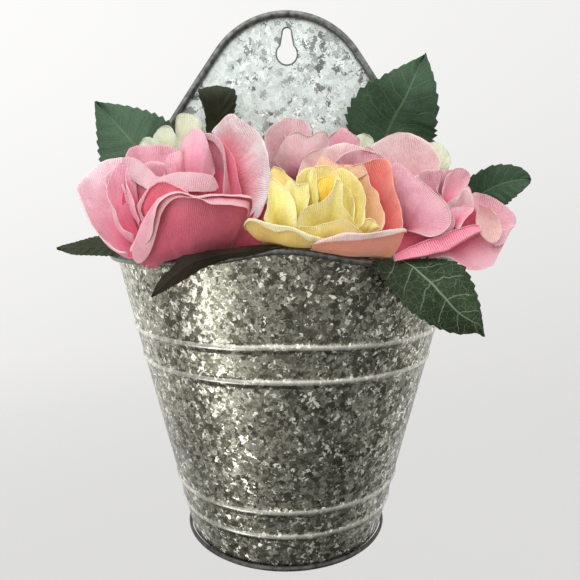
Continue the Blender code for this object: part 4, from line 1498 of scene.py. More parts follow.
# The yellow rose in the middle with its peach outer petals.
FRONT_ROSE_PETALS = (
    Petal("lower_left", (10, -82, 10), (
        (15.5, -91, 13.5), (10.5, -92.5, 15), (6, -92.5, 17), (3, -92, 18), (-2, -90, 18.5), (-8, -87.5, 20),
        (-12, -85, 21), (-15, -82, 21), (-17, -79, 18.5), (-16.5, -77, 16),
    ), (-0.1, -0.8, -0.6), belly=3.5, roll=(0.3, 0.5, 0.5, 0.4, 0.3), turn=145, fabric=Fabric.BUTTER,
        flap=(0.9, 2.0, 1.0, 1.0, 2.4, 2.2, 1.0, 0.4, 0.2), ruffle=0.1, dents=0.3, foot_end=(-8.5, -78, 10.5)),
    Petal("lower_right", (10, -83, 10), (
        (11.5, -90.5, 12), (15, -94, 13.5), (19.5, -95.5, 15), (23, -95.5, 16), (30.5, -93.5, 16),
        (38.5, -89, 16.5), (47, -82, 17), (50, -78.5, 16.5), (50, -77, 15),
    ), (0.15, -0.85, -0.5), belly=4.0, roll=(0.3, 0.45, 0.5, 0.4, 0.3), turn=140, fabric=Fabric.SALMON,
        flap=(0.2, 0.6, 1.6, 2.2, 2.5, 2.1, 1.3, 0.7, 0.1), ruffle=0.1, dents=0.3, foot_end=(44.5, -75, 4)),
    Petal("crest", (18.5, -62, 31.5), (
        (10.5, -58, 35.5), (12.5, -56.5, 42), (14.5, -55.5, 45), (15.5, -55.5, 48), (18, -57, 46), (21, -59, 44),
        (25, -61, 43), (29, -62, 43), (33, -63, 43.5), (35.5, -64, 39.5),
    ), (0.1, -0.9, 0.1), belly=1.0, roll=(0.2, 0.2, 0.5, 0.5, 0.3), turn=90, fabric=Fabric.PEACH, ruffle=0.1,
        dents=0.2, foot_width=8),
    Petal("coral", (30, -66, 11), (
        (23, -61, 40), (23.5, -60, 43), (26.5, -60, 43.5), (29.5, -60.5, 43.5), (33.5, -61.5, 44),
        (38, -62, 45.5), (41, -63, 46), (43.5, -64.5, 45.5), (45, -66, 43), (45.5, -69, 37.5),
        (46.5, -71.5, 31.5), (48, -74, 26), (49, -76.5, 20), (49, -78, 16),
    ), (0.4, 0.9, -0.1), belly=4.0, roll=(0.3, 0.5, 0.5, 0.4, 0.4), fabric=Fabric.CORAL, foot_width=16),
    Petal("scallop", (27.5, -70, 13), (
        (23.5, -62, 38.5), (26, -61, 42.5), (30, -61.5, 42.5), (33.5, -62.5, 41.5), (35.5, -64, 39.5),
        (36, -65.5, 37), (36.5, -67, 34.5), (38.5, -69, 32.5), (39.5, -70.5, 30.5), (39.5, -72, 28),
        (41, -74.5, 24.5), (41.5, -76.5, 22), (41, -78.5, 18.5), (39.5, -80, 16),
    ), (0.5, 0.8, -0.1), belly=3.0, roll=(0.2,), fabric=Fabric.PEACH, ruffle=0.2, foot_width=8),
    Petal("yellow_right", (24.5, -75, 16), (
        (21, -66, 38.5), (22, -65, 41.5), (24.5, -65.5, 41.5), (27.5, -67, 40), (30, -69.5, 37.5),
        (32, -71.5, 34.5), (33, -73.5, 31.5), (33.5, -75.5, 28.5), (33, -78, 24.5), (32.5, -80, 20.5),
        (31.5, -81.5, 18),
    ), (0.5, 0.8, 0), belly=3.0, roll=(0.2,), ruffle=0.2, foot_width=8),
    Petal("right_low", (29.5, -78, 13.5), (
        (31.5, -82.5, 18), (32.5, -82, 20.5), (34.5, -81.5, 21), (36.5, -81, 20), (39, -80.5, 17),
    ), (0.2, -0.9, 0.2), belly=1.0, roll=(0.2,), ruffle=0.1),
    Petal("heart_front", (17, -77, 13.5), (
        (5, -84, 17.5), (6, -85.5, 23), (9, -86.5, 26.5), (13.5, -87, 28), (17.5, -86.5, 30.5), (19.5, -85, 33.5),
        (20.5, -83.5, 36.5), (21.5, -83, 37), (23, -83, 35), (23, -83.5, 30.5), (23, -84, 26), (26, -84, 22.5),
        (30.5, -83.5, 17),
    ), (0, -1, 0.2), belly=2.0, roll=(0.3, 0.4, 0.3, 0.2), ruffle=0.2, dents=0.5, foot_width=10),
    Petal("low", (16.5, -82, 9.5), (
        (5, -88, 16.5), (6, -88.5, 18), (10.5, -90, 18), (16, -91, 19.5), (21.5, -91, 21.5), (23.5, -91, 21.5),
        (26, -90, 19), (30.5, -88, 16), (33.5, -86, 13.5),
    ), (0, -1, 0.1), belly=2.0, roll=(0.3, 0.4, 0.3), ruffle=0.2, dents=0.5, foot_width=12),
    Petal("left", (-1, -76, 13.5), (
        (-9, -82, 20.5), (-7.5, -80, 26), (-7, -77, 32.5), (-6.5, -74, 36.5), (-5.5, -73, 37.5), (-1, -77, 34.5),
        (2, -80, 30.5), (3.5, -82, 26), (4.5, -84, 21.5), (5, -84, 17),
    ), (-0.5, -0.8, 0.2), belly=3.0, roll=(0.3, 0.4, 0.3), ruffle=0.2),
    Petal("left_back", (2, -71, 25.5), (
        (-6.5, -66, 35), (-6.5, -64.5, 38.5), (-6, -63.5, 41), (-5, -63, 42.5), (-1.5, -64, 41), (0.5, -66, 39),
        (3, -68, 37), (4, -70, 35), (4, -72, 31.5),
    ), (-0.3, -0.9, 0.2), belly=2.0, roll=(0.3, 0.4, 0.3), fabric=Fabric.BUTTER, ruffle=0.2),
    Petal("mid_left", (5, -77, 17), (
        (-2.5, -73, 31.5), (-0.5, -72, 34), (1.5, -71, 37), (4, -74.5, 34.5), (7, -77, 35), (9.5, -79, 35),
        (9.5, -80.5, 31.5), (9, -83, 26.5),
    ), (-0.3, -0.9, 0.2), belly=1.5, roll=(0.3, 0.4, 0.3), ruffle=0.2),
    Petal("dome", (13.5, -73, 23.5), (
        (4, -74, 32.5), (4, -73, 34.5), (4.5, -72, 37.5), (7, -70.5, 40.5), (9, -70, 41.5), (13.5, -69.5, 42.5),
        (18, -69.5, 42.5), (20.5, -71, 41), (22, -73, 38.5), (23, -75, 35),
    ), (0, 0.9, 0.3), belly=3.5, ruffle=0.2),
    Petal("dome_strip", (11, -77, 22.5), (
        (9, -76.5, 31.5), (9.5, -76, 38), (10.5, -76, 40.5), (11.5, -76, 41), (12.5, -76.5, 38.5),
        (13, -78, 34.5), (13.5, -80, 29),
    ), (-0.3, -0.9, 0.2), belly=1.5, ruffle=0.1),
    Petal("heart_fold", (16, -78, 24.5), (
        (13, -78, 29.5), (13, -77.5, 34.5), (14, -77, 37), (16.5, -77, 38), (19, -77.5, 38), (20, -78.5, 36.5),
        (19.5, -80, 32.5),
    ), (0.2, -1, 0.2), belly=1.5, roll=(0.4, 0.6, 0.4), fabric=Fabric.GOLD, ruffle=0.1),
    Petal("heart_core", (17, -74, 23.5), (
        (8.5, -76, 27.5), (10, -75, 32.5), (14, -74.5, 35.5), (18.5, -74.5, 36.5), (21, -76, 35.5),
        (22, -78, 31.5),
    ), (0, 0.9, 0.3), belly=1.5, fabric=Fabric.GOLD, ruffle=0.1, foot_width=8),
)
FRONT_ROSE = Bloom(
    "front_rose", (13, -54, 26), (0, -0.6, 0.8), (26, 27), FRONT_ROSE_PETALS,
    rings=((3, 40, 150, 0.45, 6),),
    linings=(
        ("lower_left", (1, 6, -1.5)), ("lower_right", (-1, 6, -1.5)), ("heart_front", (-1, 5, -2.5)),
        ("left", (2.5, 4.5, -3)), ("yellow_right", (-4, 2, -3)),
    ),
    heart=(7.5, 15.0, 2.3, 4.0), fabric=Fabric.YELLOW,
)

# The large pink rose on the right, its lower petals rolled.
RIGHT_ROSE_PETALS = (
    Petal("back_top", (57, -42, 22), (
        (38, -40, 42), (39.5, -38, 52), (44.5, -36, 56), (50, -34, 59), (56, -33, 60), (61.5, -34, 58.5),
        (67, -36, 55), (70, -40, 50), (71.5, -44, 45), (69, -47, 36),
    ), (0, 1, 0.1), belly=4.0, roll=(0.4, 0.6, 0.8, 0.6), fabric=Fabric.BLUSH, foot_width=10),
    Petal("lilac", (52, -64, 15), (
        (49, -60, 24), (46.5, -56, 41.5), (47.5, -55.5, 45), (49.5, -56, 45), (52, -57.5, 43), (55, -60, 39.5),
        (57.5, -62.5, 37), (61, -66, 34.5), (63.5, -69, 31.5), (66, -71, 29.5), (68, -73.5, 26.5),
        (69, -75, 23.5), (69.5, -76, 20), (68.5, -77, 17.5), (66, -77.5, 15), (62.5, -77.5, 13.5), (60, -77, 13),
        (58, -76, 14), (55.5, -75, 15), (53, -74, 15.5), (51.5, -72, 15.5),
    ), (-0.2, -1, 0.2), belly=3.0, roll=(0.3, 0.4, 0.5, 0.6, 0.6, 0.4), fabric=Fabric.LILAC, ruffle=0.2,
        foot_width=1),
    Petal("fold_back", (67.5, -57, 26.5), (
        (59, -56, 36), (62.5, -53.5, 39.5), (66, -52.5, 41), (71.5, -52, 41.5), (76, -52, 42),
        (79.5, -52.5, 41.5), (81, -54, 39),
    ), (0, 0.9, 0.4), belly=2.0, fabric=Fabric.PALE, roll=(0.3,)),
    Petal("fold_left", (66, -60, 25.5), (
        (58.5, -57.5, 35), (58.5, -56, 38), (60, -55, 40), (63.5, -54, 41.5), (66.5, -54.5, 41),
        (68.5, -55.5, 40.5), (68.5, -57.5, 38), (67.5, -59, 35), (66.5, -60.5, 32.5), (68, -62.5, 30),
    ), (0, 0.9, 0.4), belly=1.5, fabric=Fabric.PALE, roll=(0.3, 0.5, 0.3), ruffle=0.2),
    Petal("fold_right", (69.5, -62, 25.5), (
        (68, -63, 31), (69.5, -60, 34.5), (71, -57, 38.5), (74, -55.5, 41), (75.5, -54.5, 42.5), (78.5, -54, 42),
        (81.5, -54.5, 40.5), (82.5, -55.5, 38.5), (81, -58, 36), (79, -60.5, 33.5), (74.5, -64, 29.5),
        (69.5, -67.5, 26.5),
    ), (0.3, 0.8, 0.4), belly=1.5, fabric=Fabric.PALE, roll=(0.3, 0.5, 0.5, 0.3), ruffle=0.5, waves=5),
    Petal("small_cup", (73, -67, 18), (
        (70.5, -69, 21.5), (69.5, -67.5, 26), (73.5, -65.5, 28.5), (78.5, -61.5, 33.5), (80.5, -62.5, 32),
        (81.5, -64, 29.5), (81.5, -65.5, 26.5), (81, -67, 24), (76.5, -70, 20), (74, -72, 16.5),
    ), (0.4, 0.6, 0.2), belly=2.5, fabric=Fabric.DUSKY, roll=(0.3, 0.4, 0.6, 0.4)),
    Petal("small_cup_in", (72, -69.5, 17.5), (
        (70, -70.5, 21), (70.5, -69.5, 24.5), (75, -68.5, 25.5), (80, -67.5, 26), (80.5, -68.5, 24),
        (76, -71.5, 20), (73.5, -73.5, 16.5), (72, -74, 15.5), (70.5, -74, 16.5),
    ), (0.3, -0.8, 0.3), belly=1.0, roll=(0.2,), ruffle=0.1, dents=0.3),
    Petal("outer_right", (85, -65, 15.5), (
        (83.5, -58, 26.5), (83.5, -55, 31.5), (88.5, -55.5, 30.5), (93.5, -56.5, 28.5), (97.5, -57.5, 26.5),
        (100.5, -59, 24), (102, -60.5, 21), (101, -62.5, 17.5), (98.5, -64.5, 15.5), (94.5, -68, 9.5),
        (90.5, -69, 8.5),
    ), (0.6, 0.6, -0.5), belly=2.5, roll=(0.3, 0.4, 0.5, 0.6, 0.6, 0.4), fabric=Fabric.PALE, ruffle=0.2,
        foot_width=8),
    Petal("tip", (82.5, -69, 27), (
        (82, -70, 24), (81.3, -71, 20), (82.5, -72, 15), (85, -73, 12), (88.2, -73.5, 10.3), (91, -73, 12.3),
        (92, -72, 15.5), (91.3, -71, 19.5), (89.5, -70, 23),
    ), (0.1, 1, 0.1), belly=1.0, roll=(0.3, 0.4, 0.3), fabric=Fabric.SHELL, dents=0.2, foot_end=(87.5, -69, 25)),
    Petal("bottom", (61, -71, 5), (
        (61, -74, 3.5), (66, -75.5, 5), (69, -76, 4.5), (71.5, -76.5, 3.5), (74, -77, 1.5), (77, -77, -0.5),
        (80, -76.5, -1), (84, -75.5, -0.5), (89, -73, 1), (90.5, -71.5, 3), (95, -67, 9.5), (98.5, -64, 15.5),
    ), (0.2, -0.8, -0.6), belly=-1.0, roll=(0.3, 0.4, 0.5, 0.5, 0.3), fabric=Fabric.PALE, ruffle=0.2,
        foot_end=(85, -66, 16.5)),
    # the rolled tube, with a painted highlight along it in its fabric
    Petal("tube", (45.5, -75, 4), (
        (45.5, -76, 5), (50.5, -76, 8), (56, -76, 10.5), (60.5, -76, 12.5), (65.5, -75.5, 13.5),
        (69.5, -75, 15.5), (74, -74, 17), (78.5, -73, 18), (82.5, -72, 18),
    ), (0.2, -0.75, -0.65), belly=6.6, roll=(0.3, 0.6, 0.8, 0.7, 0.5), turn=75, fabric=Fabric.ROLLED, ruffle=0.1,
        dents=0.15, foot_end=(83.5, -71, 15.5)),
    # painted shade: a filler petal in the deeper pink, in the shaded gap above the tube
    Petal("shade", (56.5, -68, 4.5), (
        (46.5, -71, 5.5), (49.5, -69, 11), (52, -67, 15), (56, -67, 16.5), (64, -67.5, 15.5), (69.5, -68, 16.5),
        (76, -67, 20), (82, -64.5, 24.5), (84, -65, 20.5),
    ), (0, -1, -0.1), belly=0.5, fabric=Fabric.HOT, ruffle=0.1, dents=0.3, foot_end=(82.5, -65, 15.5)),
    Petal("ruffle", (24, -48, 30), (
        (5, -46, 32), (7, -42, 45), (12, -42, 50), (18, -42, 52), (26, -41, 54), (35, -40, 53.5), (41, -40, 50),
        (40, -44, 40),
    ), (0, 1, 0.1), belly=3.0, fabric=Fabric.BLUSH, ruffle=1.3, waves=4, dents=1.3, foot_width=10),
    Petal("ruffle_in", (32, -47, 33), (
        (20, -50, 38), (23, -49, 46), (28, -47, 49.5), (34, -46, 51), (41, -46, 49.5), (47, -47, 45),
        (47, -49, 36),
    ), (0, 1, 0.1), belly=2.5, fabric=Fabric.LILAC, ruffle=1.2, waves=4, dents=1.2),
)
RIGHT_ROSE = Bloom(
    "right_rose", (69, -50, 12), (0.08, -0.22, 1), (31, 26), RIGHT_ROSE_PETALS,
    rings=((3, 60, 150, 0.8, 24), (2, 70, 140, 0.5, 20)),
    linings=(("lilac", (4, 5, -2)), ("tube", (1, 6, -1.5)), ("fold_left", (1, 4, -2))),
    heart=(6.0, 14.0, 2.4, 2.0),
)

# The small pale rose behind, in a pale pink darkened as painted shade.
BACK_ROSE_PETALS = (
    Petal("left", (1, -30, 38), (
        (-9, -30, 44), (-10.5, -26, 59), (-5, -22, 65), (2, -20, 68.5), (10, -20, 65.5), (12, -24, 58),
        (8, -28, 46),
    ), (-0.2, 0.9, 0.1), belly=3.0, roll=(0.3, 0.6, 0.6, 0.3)),
    Petal("front", (4, -34, 36), (
        (-6, -34, 46), (-1, -34, 56), (5, -33, 60), (11, -33, 57.5), (15, -32, 60), (20, -32, 59), (19, -34, 50),
        (11, -36, 42),
    ), (0, -1, 0.2), belly=4.0, roll=(0.3, 0.6, 0.7, 0.4)),
    Petal("peak", (22, -29, 44), (
        (15, -28, 49), (19, -26, 56), (25, -24, 61.5), (28, -24, 63), (31, -26, 60.5), (36, -28, 56),
        (34, -30, 47),
    ), (0, -1, 0.2), belly=2.0, fabric=Fabric.PALE),
)
BACK_ROSE = Bloom(
    "back_rose", (4, -18, 38), (0, -0.15, 1), (20, 13), BACK_ROSE_PETALS,
    rings=((3, 20, 150, 0.7, 22), (2, 60, 140, 0.4, 22)),
    heart=(6.0, 23.0, 2.2, 1.0), fabric=Fabric.DUSKY, stands_for=4,
)

# The small cream rose behind on the left.
CREAM_ROSE_LEFT_PETALS = (
    Petal("front", (-59, -19, 42), (
        (-70, -19, 50), (-68, -18, 57), (-63, -18, 63), (-59, -18, 64), (-56, -19, 61), (-52, -20, 53),
    ), (-0.1, -1, 0.2), belly=2.5),
    Petal("side", (-49, -18, 46), (
        (-56, -17, 57), (-55, -16, 68), (-51, -15, 70.5), (-45, -15, 68.5), (-42, -16, 64), (-43, -18, 55),
    ), (0.1, -1, 0.2), belly=2.5),
    Petal("low", (-66, -18, 47), (
        (-75, -19, 52), (-72, -18, 57.5), (-68, -18, 58.5), (-64, -19, 55), (-61, -19, 50),
    ), (-0.2, -1, 0.2), belly=1.5),
)
CREAM_ROSE_LEFT = Bloom(
    "cream_rose_left", (-50, -12, 42), (0, -0.1, 1), (11, 9), CREAM_ROSE_LEFT_PETALS,
    rings=((3, -10, 190, 0.85, 17),),
    heart=(4.5, 17.0, 2.2, 1.0), fabric=Fabric.CREAM, stands_for=4,
)

# The small cream rose behind on the right.
CREAM_ROSE_RIGHT_PETALS = (
    Petal("left", (38, -18, 46), (
        (31, -18, 52), (33, -17, 58), (38, -16, 60.5), (43, -16, 58.5), (45, -18, 52),
    ), (-0.1, -1, 0.2), belly=2.0),
    Petal("right", (70, -24, 38), (
        (66, -22, 46), (68, -20, 53), (73, -18, 56.5), (78, -20, 54.5), (81.5, -23, 49), (80, -25, 42),
    ), (0.2, -1, 0.2), belly=2.5),
)
CREAM_ROSE_RIGHT = Bloom(
    "cream_rose_right", (49, -12, 40), (0, -0.1, 1), (12, 9), CREAM_ROSE_RIGHT_PETALS,
    rings=((3, -10, 190, 0.85, 17), (2, 200, 330, 0.6, 16)),
    heart=(4.5, 17.0, 2.2, 1.0), fabric=Fabric.CREAM, stands_for=4,
)


# ---------------------------------------------------------------------------
# Leaves
# ---------------------------------------------------------------------------
@dataclass(frozen=True)
class Leaf:
    """A serrated fabric leaf on a thin stalk (millimetres)."""

    name: str
    stalk: tuple[Point, ...]
    blade: tuple[Point, ...]
    facing: tuple[Point, Point]
    width: float
    finish: LeafPrint
    under: LeafPrint
    teeth: int
    fold: float = 0.12  # how far the halves rise from the midrib, as a share of the width
    cup: float = 0.05
    widest: float = 0.42  # where along the blade it is widest
    point: float = 0.82  # how full the outline is
    sides: tuple[tuple[Point, ...], ...] = ()  # the two edges, where they are drawn
    tooth: float = 0.10  # how far a tooth stands out, as a share of the half width
    vein_count: int = 9
    vein_height: float = 0.25
    columns: int = 16
    rows_per_tooth: int = 6
    thickness: float = 0.4
    stalk_radius: float = 0.9

    def surface(self, across: np.ndarray, along: np.ndarray) -> np.ndarray:
        """The blade's middle surface.

        Args:
            across: shares from one side to the other.
            along: shares from the stalk to the tip.

        Returns:
            The places, in metres.
        """
        line = spline(self.blade)
        rib = read_line(line, along)
        way = unit(read_line(np.gradient(line, axis=0), along))
        face = np.outer(1 - along, self.facing[0]) + np.outer(along, self.facing[1])
        side = unit(np.cross(way, face))
        face = np.cross(side, way)
        a = 2 * across - 1
        saw = (along * self.teeth) % 1.0
        veins = np.sin((along - 0.16 * np.abs(a)) * math.tau * self.vein_count) * self.vein_height
        veins = veins * np.sin(math.pi * np.abs(a))
        if self.sides:
            first, second = (read_line(spline(edge), along) for edge in self.sides)
            reach = np.where(a[:, None] < 0, first, second) - rib
            notch = 1 + self.tooth * (saw - 0.6) * np.abs(a) ** 6
            return rib + reach * (np.abs(a) * notch)[:, None] + face * (veins * MM)[:, None]
        power = math.log(0.5) / math.log(self.widest)
        shape = np.abs(np.sin(math.pi * np.clip(along, 0, 1) ** power)) ** self.point
        shape = shape * (1 + self.tooth * (saw - 0.4) * np.abs(a) ** 6)
        half = self.width / 2 * shape * MM
        sway = np.sin(along * 7 + self.width) * a * 0.035
        height = (self.fold * np.abs(a) - self.cup * a * a + sway) * self.width * MM + veins * MM
        slant = way * (np.abs(a) * 0.10 * half)[:, None]
        return rib + side * (a * half)[:, None] + face * height[:, None] + slant

    def build(self) -> None:
        """Makes the blade and its stalk and fixes them to the frame."""
        blade = grid_sheet(f"{self.name}_blade", self.columns, self.teeth * self.rows_per_tooth, self.surface)
        turn_towards(blade, Vector(self.facing[0]) + Vector(self.facing[1]))
        dress(blade, self.finish.make(), self.under.make())
        thick = {"thickness": self.thickness * MM, "offset": -1.0, "material_offset": 1, "material_offset_rim": 1}
        finish_with(blade, ("SOLIDIFY", thick))
        smooth(blade, 60)
        mount(blade, "leaf_green", self.name)
        route = spline((*self.stalk, *self.blade[: 2 if self.sides else None]), 60)
        share = np.linspace(0, 1, len(route))
        radii = np.where(share < 0.5, self.stalk_radius, self.stalk_radius - 1.3 * (share - 0.5)) * MM
        slope = np.gradient(route, axis=0)
        under = unit(np.cross(slope, np.cross(slope, self.facing[0]))) * self.stalk_radius / 2 * MM
        stalk = bar(f"{self.name}_stalk", route + under, radii, 8)
        dress(stalk, (STEM_BROWN if self.finish in (BROWN, DARK, VEINED) else STEM_GREEN).make())
        mount(stalk, "leaf_green", self.name)


# The seven leaves, each where it shows between or in front of the roses.
LEAVES: tuple[Leaf, ...] = (
    Leaf("leaf_left_high", (
        (-64, -12, -50), (-64, -12, -26), (-66, -9, 10), (-64, -9, 32),
    ), (
        (-65, -10, 38), (-70, -12, 46), (-77, -16, 55), (-85, -19, 65), (-93.5, -22, 75),
    ), ((0.2, -1, -0.1), (0.1, -1, 0.1)), 42, GREEN, UNDER, 13, widest=0.3, point=0.95),
    Leaf("leaf_left_low", (
        (-62, -26, -50), (-62, -26, -26), (-64, -26, 0),
    ), (
        (-73, -27, 5), (-85.5, -28, 5), (-92.5, -30, 4.5), (-99, -33, 4.5), (-104, -36, 4.5), (-110, -40, 4.5),
    ), ((0, -0.4, 1), (0, -0.5, 1)), 21, UNDER, DARK, 18, sides=(
        (
            (-73, -27, 12.5), (-88, -27, 11), (-93.5, -28, 10), (-99, -31, 8.5), (-104, -35, 7), (-108, -38, 6),
            (-110, -40, 5),
        ),
        (
            (-72, -28, -1), (-83, -29, -0.5), (-89.5, -31, 0), (-96.5, -33, 0.5), (-103, -36, 1),
            (-107, -38, 2.5), (-110, -40, 4.5),
        ),
    )),
    Leaf("leaf_upright", (
        (-16, -12, -50), (-16, -12, -26), (-27, -11, 16),
    ), (
        (-34, -11, 36), (-36, -12, 55), (-35.5, -14, 65), (-34, -18, 70.5), (-33.5, -21, 75.5), (-34, -22, 78.5),
        (-34.5, -21, 81), (-34.5, -18, 83.5),
    ), ((0, -1, 0.1), (0, -1, 0.1)), 19, DARK, UNDER, 14, sides=(
        (
            (-36, -11, 36), (-40.5, -12, 55), (-41, -14, 65), (-41, -18, 71.5), (-42.5, -21, 76),
            (-43.5, -22, 79), (-42.5, -21, 81.5), (-34.5, -18, 83.5),
        ),
        (
            (-32, -11, 36), (-31.5, -12, 55), (-29.5, -14, 65), (-26.5, -18, 69.5), (-24.5, -21, 75),
            (-24.5, -22, 78.5), (-26, -21, 81.5), (-34.5, -18, 83.5),
        ),
    )),
    Leaf("leaf_right_high", (
        (66, -10, -50), (66, -10, -26), (56, -8, 24),
    ), (
        (46.5, -11, 48), (51.5, -13, 62), (54.5, -16, 69.5), (58, -19, 76), (61, -20, 83), (64.5, -18, 91),
        (68, -15, 98),
    ), ((0, -1, 0), (-0.1, -1, 0.15)), 46, DEEP, UNDER, 13, fold=0.1, widest=0.3, point=1.0),
    Leaf("leaf_right_tip", (
        (62, -26, -50), (62, -26, -26), (72, -22, 10),
    ), (
        (84, -23, 20.2), (91, -24, 26.2), (97, -27, 31.2), (104, -30, 35.2), (110.5, -33, 37.2), (117, -35, 37.7),
    ), ((0.3, -1, 0.3), (0.3, -1, 0.2)), 20.5, DEEP, UNDER, 11, widest=0.5, point=0.55),
    Leaf("leaf_front_right", (
        (30, -58, -50), (30, -58, -26), (34, -60, 1),
    ), (
        (46.5, -62, 2.5), (49.5, -72, 3), (51.5, -77, 2), (54, -80, 0.5), (57, -82.5, -2.5), (60.5, -84, -5.5),
        (63.5, -85, -9), (66, -85, -11.5), (69, -84.5, -15), (73, -83, -18.5), (78.5, -80.5, -22),
        (83, -78.5, -24.5), (85.5, -77, -29.5),
    ), ((0.1, -0.6, 0.8), (0.3, -1, 0.2)), 33, VEINED, UNDER, 15, sides=(
        (
            (51, -62, 3), (52, -69, 3.5), (55.5, -73, 3.5), (63.5, -75, 4), (69, -76, 3.5), (74, -77, 2),
            (76.5, -77.5, -0.5), (78, -78, -3.5), (79.5, -78, -6), (81, -78, -10.5), (82.5, -78, -14.5),
            (83.5, -78, -19.5), (84.5, -77.5, -24), (85.5, -77, -29.5),
        ),
        (
            (37.5, -66, 3), (37, -73, 3), (37.5, -75.5, 2), (38.5, -77.5, -1), (41, -78.5, -4.5), (43.5, -79, -8),
            (46.5, -79.5, -12), (49.5, -80, -15.5), (53, -80, -18.5), (56, -80, -20.5), (61.5, -79.5, -24),
            (67, -79, -26.5), (72, -78.5, -28), (76.5, -78, -28.5), (81.5, -77.5, -28), (85, -77, -29.5),
        ),
    )),
    Leaf("leaf_front_left", (
        (-4, -60, -50), (-4, -60, -26), (-2, -68, 6),
    ), (
        (-1.5, -80, 9.5), (-6.5, -82, 9), (-11.5, -83.5, 8.5), (-16.5, -85, 7.5), (-22.5, -86.5, 7),
        (-28.5, -87.5, 6), (-34.5, -88, 4.5), (-40, -87.5, 2), (-45, -86.5, -2), (-49.5, -85, -5.5),
        (-52.5, -83.5, -8.5), (-56, -82, -11.5),
    ), ((-0.1, -0.6, 0.8), (-0.3, -0.9, 0.8)), 17.5, BROWN, BROWN, 14, sides=(
        (
            (-1.5, -79, 9.5), (-6.5, -79.5, 10), (-12, -80, 10), (-17, -80.5, 9.5), (-23, -81, 8.5),
            (-30, -81.5, 8), (-35, -82, 7), (-41, -82.5, 6), (-44, -83, 5), (-46, -83, 2), (-47.5, -83, 0),
            (-50, -83, -1.5), (-52, -82.5, -4), (-54, -82, -7), (-56, -82, -11.5),
        ),
        (
            (-1.5, -80, 9), (-5.5, -81.5, 8), (-11, -83, 6.5), (-15.5, -84, 5.5), (-18, -84.5, 5),
            (-22.5, -85, 4.5), (-27.5, -85.5, 3), (-33, -86, 1), (-38, -86, -2), (-43, -85.5, -5),
            (-48.5, -84.5, -8), (-52, -83.5, -10), (-56, -82, -11.5),
        ),
    )),
)


# ---------------------------------------------------------------------------
# Stage
# ---------------------------------------------------------------------------
@dataclass(frozen=True)
class Glow:
    """A soft patch of light in the surroundings, by direction."""

    towards: Point
    strength: float
    sharpness: float


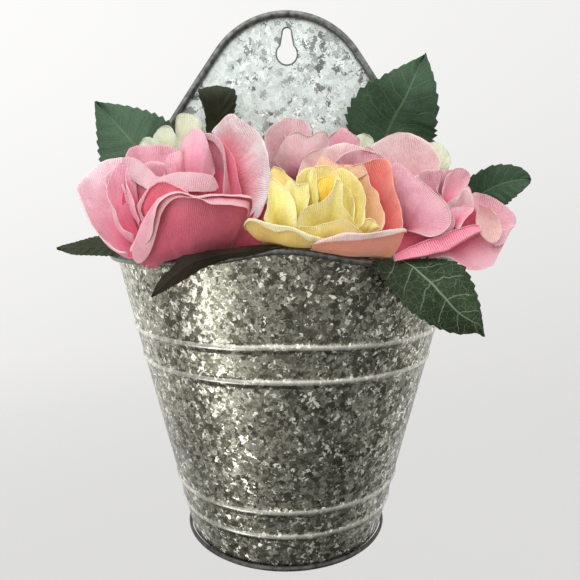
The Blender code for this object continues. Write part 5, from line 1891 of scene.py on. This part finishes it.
@dataclass(frozen=True)
class Studio:
    """Camera, pale floor and soft light."""

    backdrop: tuple[float, float] = (0.76, 0.93)
    backdrop_slope: float = 0.13  # how much darker the backdrop grows to the right
    backdrop_band: tuple[float, float] = (-0.5, 0.3)  # the directions, low to high, over which it grows brighter
    ambient: float = 0.12
    tint: Colour = (1.0, 0.995, 0.985)
    lens: float = 38.48
    sensor: float = 36.0
    stand: Point = (1.8, -336.8, 32.4)  # the camera's place, in millimetres
    tip: float = 9.15  # how far it looks down, in degrees
    lean: float = -0.12
    floor_level: float = -0.65
    floor_radius: float = 9.0
    floor_colour: Colour = (0.49, 0.49, 0.485)
    floor_fade: tuple[float, float] = (0.6, 2.6)
    glows: tuple[Glow, ...] = (
        Glow((0.0, 0.1, 1.0), 0.95, 2.0),
        Glow((-0.30, -0.62, 0.80), 1.8, 9.0),
        Glow((0.1, -0.9, 0.35), 0.15, 8.0),
        Glow((0.8, -0.2, 0.6), 0.4, 4.0),
        Glow((-0.676, -0.567, -0.45), 5.0, 90.0),
        Glow((-0.3, -0.8, -0.6), 0.35, 12.0),
        Glow((0.8, 0.6, -0.3), 0.75, 12.0),
        Glow((-0.8, 0.6, -0.2), 1.25, 12.0),
    )

    def camera(self) -> None:
        """Sets the camera in front of the tin, a little above it and tipped down."""
        data = bpy.data.cameras.new("studio_camera")
        data.lens, data.sensor_width = self.lens, self.sensor
        data.clip_start, data.clip_end = 0.02, 40.0
        camera = bpy.data.objects.new("studio_camera", data)
        bpy.context.scene.collection.objects.link(camera)
        tilt = Matrix.Rotation(math.radians(90 - self.tip), 4, "X")
        roll = Matrix.Rotation(math.radians(self.lean), 4, "Y")
        camera.matrix_world = Matrix.Translation(Vector(self.stand) * MM) @ roll @ tilt
        bpy.context.scene.camera = camera

    def floor(self) -> None:
        """Lays the pale floor, fading into the backdrop."""
        deselect()
        place = (0, 0, self.floor_level)
        bpy.ops.mesh.primitive_circle_add(vertices=96, radius=self.floor_radius, fill_type="NGON", location=place)
        floor = bpy.context.object
        floor.name = floor.data.name = "studio_floor"
        r = Recipe.named("studio_floor")
        flat = r.vector("MULTIPLY", r.place(), (1.0, 1.0, 0.0))
        length = r.node("ShaderNodeVectorMath", {"operation": "LENGTH"}, {0: flat})
        far = Signal(r, length.outputs["Value"]).above(*self.floor_fade)
        solid = r.tree.nodes["Principled BSDF"].outputs[0]
        clear = r.node("ShaderNodeBsdfTransparent").outputs[0]
        mixed = r.node("ShaderNodeMixShader", None, {0: far, 1: solid, 2: clear})
        r.plug(r.tree.nodes["Material Output"].inputs["Surface"], mixed.outputs[0])
        dress(floor, r.finish(base_color=self.floor_colour, roughness=0.9))
        floor.visible_glossy = floor.visible_diffuse = floor.visible_shadow = False

    def light(self) -> None:
        """Lights the scene from soft patches all round."""
        world = bpy.data.worlds.new("studio_light")
        bpy.context.scene.world = world
        r = Recipe(world)
        towards = r.node("ShaderNodeTexCoord").outputs["Generated"]
        total: Signal | float = self.ambient
        for glow in self.glows:
            inputs = {0: towards, 1: Vector(glow.towards).normalized()}
            aim = r.node("ShaderNodeVectorMath", {"operation": "DOT_PRODUCT"}, inputs)
            facing = Signal(r, aim.outputs["Value"]) * 0.5 + 0.5
            total = facing ** glow.sharpness * glow.strength + total
        seen = Signal(r, r.node("ShaderNodeLightPath").outputs["Is Camera Ray"])
        right, _, up = r.split(towards)
        low, high = self.backdrop
        wash = up.above(*self.backdrop_band) * (high - low) + low - right * self.backdrop_slope
        background = r.tree.nodes["Background"]
        r.plug(background.inputs["Strength"], seen * wash + (1 - seen) * total)
        r.plug(background.inputs["Color"], self.tint)

    def build(self) -> None:
        """Sets up the whole studio."""
        self.camera()
        self.floor()
        self.light()
        bpy.context.scene.view_settings.view_transform = "Standard"


def dress_kept_nodes() -> None:
    """Gives the frame's own foam, wires and stems their finishes."""
    for name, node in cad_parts.items():
        for ending, finish in (("foam_block", FOAM), ("_wire", WIRE), ("_stem", STEM_GREEN)):
            if name.endswith(ending):
                dress(node, finish.make())


def main() -> None:
    """Builds the studio, the tin, the leaves and the roses in order."""
    logging.basicConfig(level=logging.INFO, format="%(message)s")
    Studio().build()
    dress_kept_nodes()
    HalfTin().build()
    for leaf in LEAVES:
        leaf.build()
    for bloom in (LEFT_ROSE, FRONT_ROSE, RIGHT_ROSE, BACK_ROSE, CREAM_ROSE_LEFT, CREAM_ROSE_RIGHT):
        bloom.build()
    deselect()


if __name__ == "__main__":
    main()
